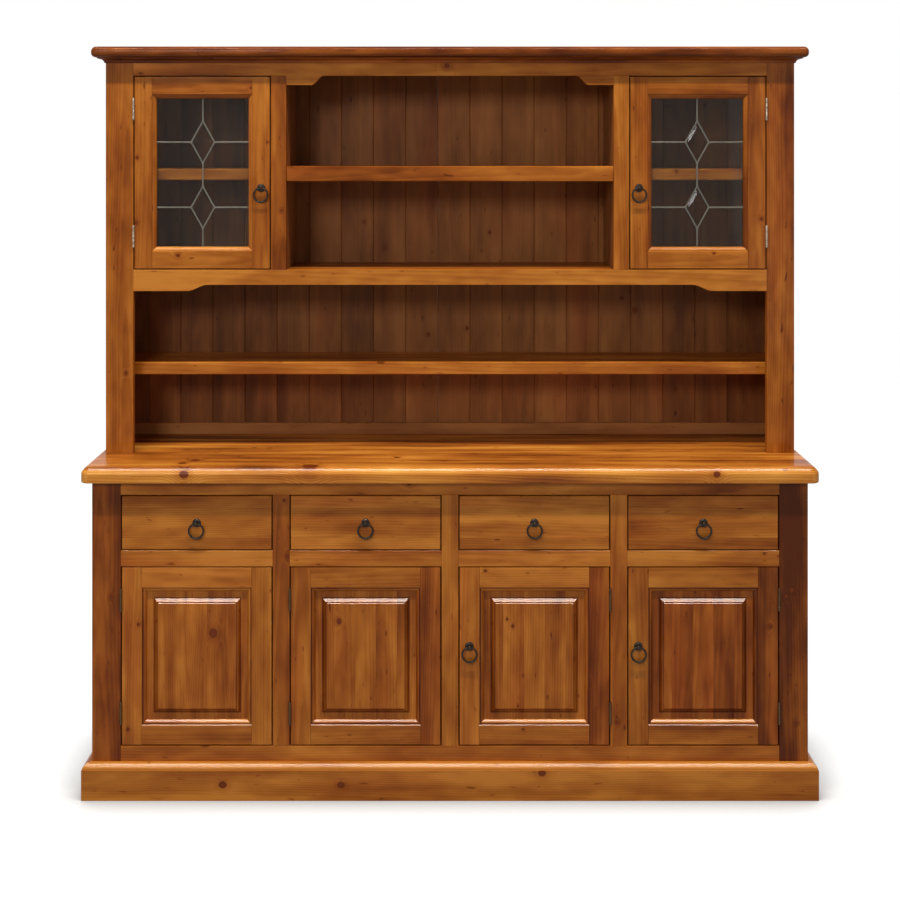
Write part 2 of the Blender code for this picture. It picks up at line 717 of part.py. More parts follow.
def add_base_face_frame():
    """Posts, mullions and rails glued into one frame, with the fixed halves of the doors' hinges."""
    loops = [rectangle(-HALF_BASE, HALF_BASE, 0, BASE_HEIGHT - GAP)]
    for bay in range(BAYS):
        low, high = bay_edges(bay)
        loops.append(rectangle(low, high, DOOR_OPENING_LOW, DOOR_OPENING_HIGH))
        loops.append(rectangle(low, high, DRAWER_OPENING_LOW, DRAWER_OPENING_HIGH))
    mesh = flat_solid("base_face_frame", loops, FRAME_THICKNESS)
    frame = add_part("base_face_frame", mesh, PINE, (0, BASE_FRONT_Y + FRAME_THICKNESS / 2, 0), TO_FRONT)
    for bay, side in enumerate(HUNG_ON):
        x = hinge_x(*bay_edges(bay), side)
        name = f"base_door_{bay + 1}_fixed_leaf"
        hang(frame, FIXED_HALF, name, x, BASE_FRONT_Y - HINGE_PROUD, base_hinge_heights(), side)


def add_base_carcase():
    """Sides, bottom and back of the base."""
    top = BASE_HEIGHT - GAP
    for side, sign in (("left", -1), ("right", 1)):
        edges = sorted((sign * HALF_BASE, sign * (HALF_BASE - SIDE_THICKNESS)))
        board(f"base_side_{side}", (edges[0], BASE_INSIDE_Y, 0), (edges[1], BACK_Y, top), PINE)
    low = DOOR_OPENING_LOW - BASE_BOTTOM_THICKNESS
    board(
        "base_bottom",
        (-BASE_INSIDE_X, BASE_INSIDE_Y, low),
        (BASE_INSIDE_X, BASE_BACK_Y - GAP, DOOR_OPENING_LOW),
        PINE_INSIDE,
    )
    board("base_back", (-BASE_INSIDE_X, BASE_BACK_Y, low), (BASE_INSIDE_X, BACK_Y, top), PINE_INSIDE)


def add_plinth():
    """A board round the front and sides, with a fillet and an ovolo along its top."""
    shelf = PLINTH_THICKNESS - PLINTH_FILLET
    face = PLINTH_FACE_HEIGHT
    profile = [(0, 0), (PLINTH_THICKNESS, 0), (PLINTH_THICKNESS, face), (shelf, face)]
    top = face + PLINTH_FILLET
    for i in range(PLINTH_ARC_STEPS + 1):
        angle = math.pi / 2 * i / PLINTH_ARC_STEPS
        back = shelf - PLINTH_OVOLO * (1 - math.cos(angle))
        profile.append((back, top + PLINTH_OVOLO * math.sin(angle)))
    profile.append((0, top + PLINTH_OVOLO))
    x, y = HALF_BASE + GAP, BASE_FRONT_Y - GAP
    mesh = moulding("plinth", profile, [(-x, BACK_Y), (-x, y), (x, y), (x, BACK_Y)], closed=False)
    add_part("plinth", mesh, PINE)


def add_worktop():
    half = HALF_BASE + WORKTOP_SIDE_OVERHANG
    slab(
        "worktop",
        (-half, BASE_FRONT_Y - WORKTOP_FRONT_OVERHANG, BASE_HEIGHT),
        (half, BACK_Y, WORKTOP_TOP),
        PINE_TOP,
        WORKTOP_TOP_RADIUS,
        WORKTOP_UNDER_RADIUS,
        WORKTOP_CORNER_RADIUS,
    )


def add_drawer_board():
    """The board that the drawers run on, with a guide standing between each two drawers and at both ends."""
    under = DRAWER_OPENING_LOW - DRAWER_BOARD_THICKNESS
    outline = [(-BASE_INSIDE_X, under), (BASE_INSIDE_X, under)]
    guide = DRAWER_OPENING_LOW + DRAWER_GUIDE_HEIGHT
    outline.append((BASE_INSIDE_X, guide))
    for bay in reversed(range(BAYS)):
        low, high = bay_edges(bay)
        outline += [(high, guide), (high, DRAWER_OPENING_LOW), (low, DRAWER_OPENING_LOW), (low, guide)]
    outline.append((-BASE_INSIDE_X, guide))
    depth = BASE_BACK_Y - GAP - BASE_INSIDE_Y
    mesh = flat_solid("drawer_board", [outline], depth)
    add_part("drawer_board", mesh, PLAIN_WOOD, (0, BASE_INSIDE_Y + depth / 2, 0), TO_FRONT)


def add_drawer(number):
    """A drawer: its flush front, its box, and its pull."""
    name = f"drawer_{number}"
    low_x, high_x = bay_edges(number - 1)
    x = (low_x + high_x) / 2
    z = (DRAWER_OPENING_LOW + DRAWER_OPENING_HIGH) / 2
    carrier = pivot(f"{name}_slide", (x, BASE_FRONT_Y, z))
    back = BASE_FRONT_Y + DRAWER_FRONT_THICKNESS
    front = board(
        f"{name}_front",
        (low_x + SWING_GAP, BASE_FRONT_Y, DRAWER_OPENING_LOW + SWING_GAP),
        (high_x - SWING_GAP, back, DRAWER_OPENING_HIGH - SWING_GAP),
        PINE,
        ARRIS,
    )
    half = BAY_WIDTH / 2 - DRAWER_BOX_CLEARANCE
    low = DRAWER_OPENING_LOW + GAP
    box = board(
        f"{name}_box",
        (x - half, back + GAP, low),
        (x + half, back + GAP + DRAWER_BOX_DEPTH, low + DRAWER_BOX_HEIGHT),
        PLAIN_WOOD,
    )
    inside = half - DRAWER_WALL
    floor = low + DRAWER_BOTTOM_RAISE + DRAWER_BOTTOM_THICKNESS
    far = back + GAP + DRAWER_BOX_DEPTH - DRAWER_WALL
    hollow = add_tool(
        f"{name}_hollow",
        cuboid((-inside, back - CUT_OVER, floor), (inside, far, low + DRAWER_BOX_HEIGHT + CUT_OVER)),
        (x, 0, 0),
    )
    recess = add_tool(
        f"{name}_recess",
        cuboid((-inside, back - CUT_OVER, low - CUT_OVER), (inside, far, low + DRAWER_BOTTOM_RAISE)),
        (x, 0, 0),
    )
    boolean(box, hollow, "DIFFERENCE")
    boolean(box, recess, "DIFFERENCE")
    carry(carrier, front, box, hollow, recess)
    add_pull(name, x, BASE_FRONT_Y, z, carrier)


# Hutch


def shoulder(start, end):
    """The soft S-shaped slope of a cut-out rail, level at both ends."""
    points = []
    for i in range(SHOULDER_STEPS + 1):
        along = i / SHOULDER_STEPS
        rise = (1 - math.cos(math.pi * along)) / 2
        points.append((start[0] + along * (end[0] - start[0]), start[1] + rise * (end[1] - start[1])))
    return points


def add_hutch_face_frame():
    """Posts, mid stiles and rails in one, with cut-out rails and the fixed halves of the doors' hinges."""
    drop = HUTCH_MID_RAIL_LOW - MID_RAIL_DROP
    flat = HALF_GLAZED_OUTER - MID_RAIL_DROP_FLAT
    right = [
        *shoulder((flat - MID_RAIL_DROP_SLOPE, HUTCH_MID_RAIL_LOW), (flat, drop)),
        (HALF_GLAZED_OUTER, drop),
        (HALF_GLAZED_OUTER, HUTCH_FOOT),
        (HALF_HUTCH, HUTCH_FOOT),
        (HALF_HUTCH, HUTCH_TOP),
    ]
    outer = right + [(-x, z) for x, z in reversed(right)]
    arch = GLAZED_OPENING_HIGH - ARCH_DROP
    arch_flat = HALF_CENTRE - ARCH_DROP_FLAT
    half_centre = [
        (HALF_CENTRE, GLAZED_OPENING_LOW),
        (HALF_CENTRE, arch),
        *shoulder((arch_flat, arch), (arch_flat - ARCH_DROP_SLOPE, GLAZED_OPENING_HIGH)),
    ]
    centre = half_centre + [(-x, z) for x, z in reversed(half_centre)]
    glazed = rectangle(HALF_GLAZED_INNER, HALF_GLAZED_OUTER, GLAZED_OPENING_LOW, GLAZED_OPENING_HIGH)
    mirrored = [(-x, z) for x, z in reversed(glazed)]
    mesh = flat_solid("hutch_face_frame", [outer, centre, glazed, mirrored], FRAME_THICKNESS)
    frame = add_part("hutch_face_frame", mesh, PINE, (0, HUTCH_FRONT_Y + FRAME_THICKNESS / 2, 0), TO_FRONT)
    low = GLAZED_OPENING_LOW + SWING_GAP + HUTCH_HINGE_INSET
    high = GLAZED_OPENING_HIGH - SWING_GAP - HUTCH_HINGE_INSET
    for side, sign in (("left", -1), ("right", 1)):
        edges = sorted((sign * HALF_GLAZED_OUTER, sign * HALF_GLAZED_INNER))
        name = f"glazed_door_{side}_fixed_leaf"
        hang(frame, FIXED_HALF, name, hinge_x(*edges, side), HUTCH_FRONT_Y - HINGE_PROUD, (low, high), side)


def add_hutch_carcase():
    """Sides, the floor of the cupboards and the partitions between them."""
    far = BOARD_FRONT_Y - GAP
    floor_top = GLAZED_OPENING_LOW
    for side, sign in (("left", -1), ("right", 1)):
        edges = sorted((sign * HALF_HUTCH, sign * (HALF_HUTCH - SIDE_THICKNESS)))
        board(
            f"hutch_side_{side}",
            (edges[0], HUTCH_INSIDE_Y, HUTCH_FOOT),
            (edges[1], BACK_Y, HUTCH_TOP),
            PINE,
        )
        edges = sorted((sign * HALF_CENTRE, sign * (HALF_CENTRE + SIDE_THICKNESS)))
        board(
            f"hutch_partition_{side}",
            (edges[0], HUTCH_INSIDE_Y, floor_top + GAP),
            (edges[1], far, HUTCH_TOP),
            PINE_INSIDE,
        )
    board(
        "cupboard_floor",
        (-HUTCH_INSIDE_X, HUTCH_INSIDE_Y, floor_top - SHELF_THICKNESS),
        (HUTCH_INSIDE_X, far, floor_top),
        PINE,
    )


def add_back_boards():
    """Tongued boards glued edge to edge, with a V groove along each joint of the front."""
    far = BOARD_FRONT_Y + BOARD_THICKNESS
    count = math.floor((HUTCH_INSIDE_X - BOARD_JOINT_X - BOARD_GROOVE_WIDTH) / BOARD_PITCH)
    joint = BOARD_JOINT_X + count * BOARD_PITCH
    outline = [(-HUTCH_INSIDE_X, far), (-HUTCH_INSIDE_X, BOARD_FRONT_Y)]
    grooves = []
    while joint > BOARD_GROOVE_WIDTH - HUTCH_INSIDE_X:
        grooves.append(joint)
        joint -= BOARD_PITCH
    for x in reversed(grooves):
        outline.append((x - BOARD_GROOVE_WIDTH / 2, BOARD_FRONT_Y))
        outline.append((x, BOARD_FRONT_Y + BOARD_GROOVE_DEPTH))
        outline.append((x + BOARD_GROOVE_WIDTH / 2, BOARD_FRONT_Y))
    outline += [(HUTCH_INSIDE_X, BOARD_FRONT_Y), (HUTCH_INSIDE_X, far)]
    height = HUTCH_TOP - HUTCH_FOOT
    mesh = flat_solid("back_boards", [outline], height)
    add_part("back_boards", mesh, PINE_INSIDE, (0, 0, HUTCH_FOOT + height / 2))


def lipped_shelf(name, low_x, high_x, front_y, top, lip):
    """A shelf with a deeper lip along its front, as a section in the side plane."""
    far = BOARD_FRONT_Y - GAP
    under = top - SHELF_THICKNESS
    back_of_lip = front_y + FRAME_THICKNESS
    section = [
        (front_y, top),
        (front_y, top - lip),
        (back_of_lip, top - lip),
        (back_of_lip, under),
        (far, under),
        (far, top),
    ]
    mesh = flat_solid(name, [section], high_x - low_x)
    add_part(name, mesh, PINE, ((low_x + high_x) / 2, 0, 0), TO_SIDE)


def add_shelves():
    half = HALF_CENTRE - GAP
    lipped_shelf("centre_shelf", -half, half, HUTCH_FRONT_Y, CENTRE_SHELF_TOP, CENTRE_SHELF_LIP)
    inner = HALF_CENTRE + SIDE_THICKNESS + GAP
    front = HUTCH_INSIDE_Y + CUPBOARD_SHELF_SETBACK
    for side, edges in (("left", (-HUTCH_INSIDE_X, -inner)), ("right", (inner, HUTCH_INSIDE_X))):
        lipped_shelf(f"cupboard_shelf_{side}", *edges, front, CUPBOARD_SHELF_TOP, CUPBOARD_SHELF_LIP)
    front = HUTCH_FRONT_Y + PLATE_SHELF_SETBACK
    lipped_shelf("plate_shelf", -HUTCH_INSIDE_X, HUTCH_INSIDE_X, front, PLATE_SHELF_TOP, PLATE_SHELF_LIP)
    board(
        "back_rail",
        (-HUTCH_INSIDE_X, BOARD_FRONT_Y - GAP - BACK_RAIL_THICKNESS, HUTCH_FOOT),
        (HUTCH_INSIDE_X, BOARD_FRONT_Y - GAP, HUTCH_FOOT + BACK_RAIL_HEIGHT),
        PINE,
        ARRIS,
    )


def add_cornice():
    """The round-edged top board, and the bed mould mitred round the hutch beneath it."""
    half = HALF_HUTCH + CORNICE_OVERHANG
    slab(
        "cornice",
        (-half, HUTCH_FRONT_Y - CORNICE_OVERHANG, CORNICE_LOW),
        (half, BACK_Y, CORNICE_LOW + CORNICE_THICKNESS),
        PINE,
        CORNICE_TOP_RADIUS,
        CORNICE_UNDER_RADIUS,
        CORNICE_UNDER_RADIUS,
    )
    profile = [(0, 0), (BED_MOULD_EDGE, 0)]
    reach = BED_MOULD_PROJECTION - BED_MOULD_EDGE
    rise = BED_MOULD_HEIGHT - BED_MOULD_EDGE
    for i in range(1, BED_MOULD_STEPS + 1):
        angle = math.pi / 2 * i / BED_MOULD_STEPS
        profile.append((BED_MOULD_EDGE + reach * (1 - math.cos(angle)), rise * math.sin(angle)))
    profile += [(BED_MOULD_PROJECTION, BED_MOULD_HEIGHT), (0, BED_MOULD_HEIGHT)]
    x, y = HALF_HUTCH + GAP, HUTCH_FRONT_Y - GAP
    mesh = moulding("bed_mould", profile, [(-x, BACK_Y), (-x, y), (x, y), (x, BACK_Y)], closed=False)
    add_part("bed_mould", mesh, PINE, (0, 0, HUTCH_TOP - BED_MOULD_HEIGHT))


FIXED_HALF = fixed_half_mesh()
MOVING_HALF = moving_half_mesh()
ROSE_MESH = rose_mesh()
RING_MESH = ring_mesh()

add_base_face_frame()
add_base_carcase()
add_plinth()
add_worktop()
add_drawer_board()
for bay in range(BAYS):
    add_drawer(bay + 1)
    add_panel_door(bay + 1, HUNG_ON[bay], HAS_PULL[bay])

add_hutch_face_frame()
add_hutch_carcase()
add_back_boards()
add_shelves()
add_cornice()
add_glazed_door("glazed_door_left", -HALF_GLAZED_OUTER, -HALF_GLAZED_INNER, "left")
add_glazed_door("glazed_door_right", HALF_GLAZED_INNER, HALF_GLAZED_OUTER, "right")
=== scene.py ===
import bmesh
import bpy
import numpy as np
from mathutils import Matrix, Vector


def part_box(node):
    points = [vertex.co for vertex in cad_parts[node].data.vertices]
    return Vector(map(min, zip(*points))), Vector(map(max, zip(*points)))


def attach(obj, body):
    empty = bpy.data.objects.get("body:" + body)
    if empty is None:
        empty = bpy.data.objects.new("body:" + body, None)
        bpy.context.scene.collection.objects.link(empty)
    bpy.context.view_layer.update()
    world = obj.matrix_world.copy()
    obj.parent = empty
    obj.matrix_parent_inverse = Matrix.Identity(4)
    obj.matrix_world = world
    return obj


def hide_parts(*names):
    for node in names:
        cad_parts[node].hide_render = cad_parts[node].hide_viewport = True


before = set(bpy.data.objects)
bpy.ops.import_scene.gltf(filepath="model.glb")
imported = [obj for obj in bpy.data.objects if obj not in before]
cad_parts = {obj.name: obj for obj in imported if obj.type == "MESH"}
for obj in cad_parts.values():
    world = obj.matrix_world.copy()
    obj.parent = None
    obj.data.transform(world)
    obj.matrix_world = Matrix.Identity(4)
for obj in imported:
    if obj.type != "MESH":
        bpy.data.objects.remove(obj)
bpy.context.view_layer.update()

# ---------------- The photograph's view
# The lens looks level and square at the dresser, about 1.8 m above the floor and 4 m in front of it,
# and the frame is cropped low, so the upright lines stay upright.
camera = bpy.data.objects.new("camera", bpy.data.cameras.new("camera"))
camera.location = (0, -4.175, 1.801)
camera.rotation_euler = (np.pi / 2, 0, 0)
camera.data.lens = 56.88
camera.data.shift_y = -0.333
bpy.context.collection.objects.link(camera)
bpy.context.scene.camera = camera

# ---------------- Light and floor
# A long lamp near the ceiling shades what stands under the overhangs, a softer one high on the left lights
# the front, and a weak one fills from the right, in a plain pale room. The floor keeps the dresser's shadow,
# and its glow is dimmed near the dresser by ambient occlusion, a painted contact shadow.
bpy.context.scene.view_settings.view_transform = "Standard"


def put(nodes, kind, inputs=None, **settings):
    """Adds a node to a material, gives it its settings, and joins or fills its inputs."""
    node = nodes.new("ShaderNode" + kind)
    for name, value in settings.items():
        setattr(node, name, value)
    for key, value in (inputs or {}).items():
        if isinstance(value, bpy.types.NodeSocket):
            nodes.id_data.links.new(value, node.inputs[key])
        else:
            node.inputs[key].default_value = value
    return node


def calc(nodes, operation, *values):
    """One sum on numbers in a material."""
    return put(nodes, "Math", dict(enumerate(values)), operation=operation).outputs[0]


def new_material(name, settings):
    """A new material whose shader has the given settings, with its nodes and the call that joins them."""
    material = bpy.data.materials.new(name)
    material.use_nodes = True
    nodes = material.node_tree.nodes
    shader = nodes["Principled BSDF"]
    for setting, value in settings.items():
        shader.inputs[setting].default_value = value
    return material, nodes, material.node_tree.links.new, shader


def seen_rays(nodes):
    """1 for the rays that see the room itself: from the camera, in a reflection or through glass."""
    rays = put(nodes, "LightPath").outputs
    direct = calc(nodes, "MAXIMUM", rays["Is Camera Ray"], rays["Is Glossy Ray"])
    return calc(nodes, "MAXIMUM", direct, rays["Is Transmission Ray"])


def lamp(name, place, aim, width, height, power, colour=(1, 1, 1)):
    """A flat lamp at a place, turned toward its aim, with its longer side level."""
    light = bpy.data.lights.new(name, "AREA")
    light.color = colour
    light.shape = "RECTANGLE"
    light.size = width
    light.size_y = height
    light.energy = power
    holder = bpy.data.objects.new(name, light)
    holder.location = place
    toward = np.array(aim) - np.array(place)
    level = np.hypot(toward[0], toward[1])
    holder.rotation_euler = (np.arctan2(level, -toward[2]), 0, np.arctan2(toward[1], toward[0]) - np.pi / 2)
    bpy.context.collection.objects.link(holder)


# The overhead lamp lies parallel to the dresser, so its highlights are as strong at both ends of an edge.
lamp(
    "overhead_lamp", (-0.1, -1.79, 6.0), aim=(-0.1, -0.2, 1.1), width=5.2, height=0.18, power=315,
    colour=(1.0, 0.92, 0.82),
)
lamp("key_lamp", (-1.6, -4.6, 3.0), aim=(0, -0.2, 1.1), width=1.2, height=0.9, power=70)
lamp("fill_lamp", (2.6, -4.2, 1.6), aim=(0, 0, 1.0), width=2.0, height=2.0, power=8)

room = bpy.data.worlds.new("room")
room.use_nodes = True
bpy.context.scene.world = room
room_nodes = room.node_tree.nodes
room_strength = put(room_nodes, "MapRange", {0: seen_rays(room_nodes), 3: 0.17, 4: 1.0}).outputs[0]
room_nodes["Background"].inputs["Color"].default_value = (1, 1, 1, 1)
room.node_tree.links.new(room_strength, room_nodes["Background"].inputs["Strength"])

floor_finish, floor_nodes, floor_link, floor_shader = new_material("pale_floor", {
    "Base Color": (0.3, 0.3, 0.3, 1), "Roughness": 0.9, "Specular IOR Level": 0.0, "Emission Color": (1, 1, 1, 1),
})
# painted contact shadow: the floor's glow fades where ambient occlusion finds the dresser close by
painted_contact_shadow = put(floor_nodes, "AmbientOcclusion", {"Distance": 0.16}, samples=8).outputs["AO"]
painted_contact_shadow = calc(floor_nodes, "POWER", painted_contact_shadow, 1.8)
floor_glow = calc(floor_nodes, "MULTIPLY", calc(floor_nodes, "MULTIPLY", seen_rays(floor_nodes), 0.95), painted_contact_shadow)
floor_link(floor_glow, floor_shader.inputs["Emission Strength"])
floor_mesh = bpy.data.meshes.new("floor")
floor_mesh.from_pydata([(-9, -5, 0), (9, -5, 0), (9, 7, 0), (-9, 7, 0)], [], [(0, 1, 2, 3)])
floor_mesh.materials.append(floor_finish)
floor = bpy.data.objects.new("floor", floor_mesh)
bpy.context.collection.objects.link(floor)

# ---------------- Base carcase
# Sides of three boards glued edge to edge, a bottom and a back of thinner boards. The sides are stained
# and varnished like the front, and the inside is only stained. They are glued behind the face frame.
EDGE_GAP = 0.00006  # each board falls this short of its place, so its joints show as hair lines
JOINT = 0.0003  # the solids stand this far apart where they are glued
ONE_BOARD = 10.0  # the width of the boards that a piece is glued from, when it is a single board
THROUGH = 9.0  # the depth of a knot that goes right through


def skin(loops):
    """Closes a tube: loop k is joined to loop k + 1 by four-sided faces, and the two end loops get a cap."""
    rows, columns = loops.shape[:2]
    number = np.arange(rows * columns).reshape(rows, columns)
    beside = np.roll(number, -1, axis=1)
    sides = np.stack([number[:-1], beside[:-1], beside[1:], number[1:]], axis=-1).reshape(-1, 4)
    return loops.reshape(-1, 3), sides.tolist() + [number[0].tolist(), number[-1].tolist()]


def eased_block(low, high, radius):
    """A board with eased edges, which is a sphere pulled apart: at latitude a and longitude b the point is the
    centre of that octant's corner plus the radius of each axis times (cos a cos b, cos a sin b, sin a)."""
    quarter = np.array([0, np.pi / 2])
    latitude = np.concatenate([quarter - np.pi / 2, quarter])[:, None]
    longitude = np.concatenate([quarter + turn * np.pi / 2 for turn in range(4)])
    low, high = np.array(low, float), np.array(high, float)
    ease = np.broadcast_to(radius, 3)
    centre, reach = (low + high) / 2, (high - low) / 2 - ease
    right, behind = np.repeat([[1, -1, -1, 1], [1, 1, -1, -1]], 2, axis=1)
    above = np.repeat([-1, 1], 2)[:, None]
    flat = np.cos(latitude)
    octant = np.stack(np.broadcast_arrays(right, behind, above), axis=-1)
    point = np.stack(np.broadcast_arrays(
        flat * np.cos(longitude), flat * np.sin(longitude), np.sin(latitude)
    ), axis=-1)
    return skin(centre + reach * octant + ease * point)


def cut_from(shape, order, tone=0.0, red=0.0, plank=ONE_BOARD, knots=(), painted_shade_and_tone=0.0, luck=0):
    """Gives each point of a shape its place in the wood that it is cut from, a tree chosen by its corner. order
    names the axes along the grain, across it and into the board; knots are (along, across, radius), or with a
    depth too where a knot doesn't go through; plank is the width of the boards that are glued into the piece,
    the painted shade and tone how much darker each point is painted, which is painted shade in recesses and
    under the hutch and, where it is negative, a paler tone, and luck another tree."""
    points, faces = shape
    chance = np.random.default_rng(np.abs(np.round(1000 * points.min(axis=0))).astype(int) + luck)
    grain = points[:, ["xyz".index(axis) for axis in order]]
    low, high = grain.min(axis=0), grain.max(axis=0)
    middle = (low + high) / 2
    middle[0] = 0
    width = min(high[1] - low[1], 2 * plank)
    pith = (chance.uniform(-0.6, 0.6) * width, chance.choice([-1, 1]) * chance.uniform(0.015, 0.06))
    marks = [(knot[0], knot[1] - middle[1], knot[2]) for knot in knots]
    depths = [knot[3] - middle[2] if len(knot) > 3 else THROUGH for knot in knots]
    while len(marks) % 3 or not marks:
        there = chance.random() < 0.14 and high[1] - low[1] > 0.03
        radius = chance.uniform(0.003, 0.006) if there else 0.0
        marks.append((chance.uniform(low[0], high[0]), chance.uniform(-0.4, 0.4) * (high[1] - low[1]), radius))
    whole = {
        "heart": (*pith, chance.uniform(0, 40)),
        "finish": (tone + chance.normal(0, 0.03), red + chance.normal(0, 0.06), plank),
    }
    depths += (len(marks) - len(depths)) * [THROUGH]
    for number, mark in enumerate(marks):
        whole[f"knot_{number}"] = mark
        whole[f"depths_{number // 3}"] = depths[number // 3 * 3:number // 3 * 3 + 3]
    traces = {name: np.tile(value, (len(points), 1)) for name, value in whole.items()}
    # the tone is lowered by the painted shade and tone at each point
    traces["finish"][:, 0] -= painted_shade_and_tone
    return {"points": points, "faces": faces, "grain": grain - middle, **traces}


def board(low, high, order, radius=0.0012, **wood):
    """A straight board between two corners, a hair short of them so that its joints show."""
    return cut_from(eased_block(np.array(low) + EDGE_GAP, np.array(high) - EDGE_GAP, radius), order, **wood)


def tidy_mesh(mesh, weld=0.0):
    """Welds the points of a mesh that lie together and turns its faces outward."""
    made = bmesh.new()
    made.from_mesh(mesh)
    if weld:
        bmesh.ops.remove_doubles(made, verts=made.verts, dist=weld)
    bmesh.ops.recalc_face_normals(made, faces=made.faces)
    made.to_mesh(mesh)
    made.free()


def assemble(name, shapes, finish, body, slot, *nodes):
    """Makes one piece of several shapes, on a body, in place of the CAD nodes that it stands for."""
    starts = np.cumsum([0] + [len(shape["points"]) for shape in shapes])
    faces = [[corner + start for corner in face] for shape, start in zip(shapes, starts) for face in shape["faces"]]
    mesh = bpy.data.meshes.new(name)
    mesh.from_pydata(np.concatenate([shape["points"] for shape in shapes]).tolist(), [], faces)
    for trace in (key for key in shapes[0] if key not in ("points", "faces")):
        layer = mesh.attributes.new(trace, "FLOAT_VECTOR", "POINT")
        values = np.concatenate([shape[trace] for shape in shapes])
        layer.data.foreach_set("vector", values.astype(np.float32).ravel())
    tidy_mesh(mesh, weld=0.00001)
    mesh.shade_smooth()
    mesh.set_sharp_from_angle(angle=np.radians(40))
    mesh.materials.append(finish)
    piece = bpy.data.objects.new(name, mesh)
    bpy.context.collection.objects.link(piece)
    even = piece.modifiers.new("even_shading", "WEIGHTED_NORMAL")
    even.keep_sharp = True
    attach(piece, body)
    if nodes:
        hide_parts(*nodes)


def single_board(node, finish, slot, order, radius=0.0012, **wood):
    """A piece of the carcase that is one board, or several glued edge to edge, in place of its node."""
    low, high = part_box(node)
    assemble(f"{node}_board", [board(low, high, order, radius, **wood)], finish, "carcase", slot, node)


def noise(nodes, vector, scale, detail=2.0, rough=0.5):
    """A noise from 0 to 1 at a place."""
    settings = {"Vector": vector, "Scale": scale, "Detail": detail, "Roughness": rough}
    return put(nodes, "TexNoise", settings).outputs["Fac"]


def place(nodes, x, y, z):
    """A place for a pattern, from three numbers."""
    return put(nodes, "CombineXYZ", {0: x, 1: y, 2: z}).outputs[0]


def slope(nodes, value, low, high, first=0.0, last=1.0):
    """A soft step from first to last as the value goes from low to high."""
    settings = {0: value, 1: low, 2: high, 3: first, 4: last}
    return put(nodes, "MapRange", settings, interpolation_type="SMOOTHSTEP").outputs[0]


def tint(nodes, share, first, second, way="MIX"):
    """Two colours mixed by a share."""
    return put(nodes, "Mix", {0: share, 6: first, 7: second}, data_type="RGBA", blend_type=way).outputs[2]


def trace_parts(nodes, name):
    """The three numbers of one of a board's traces."""
    trace = put(nodes, "Attribute", attribute_name=name).outputs["Vector"]
    return put(nodes, "SeparateXYZ", {0: trace}).outputs


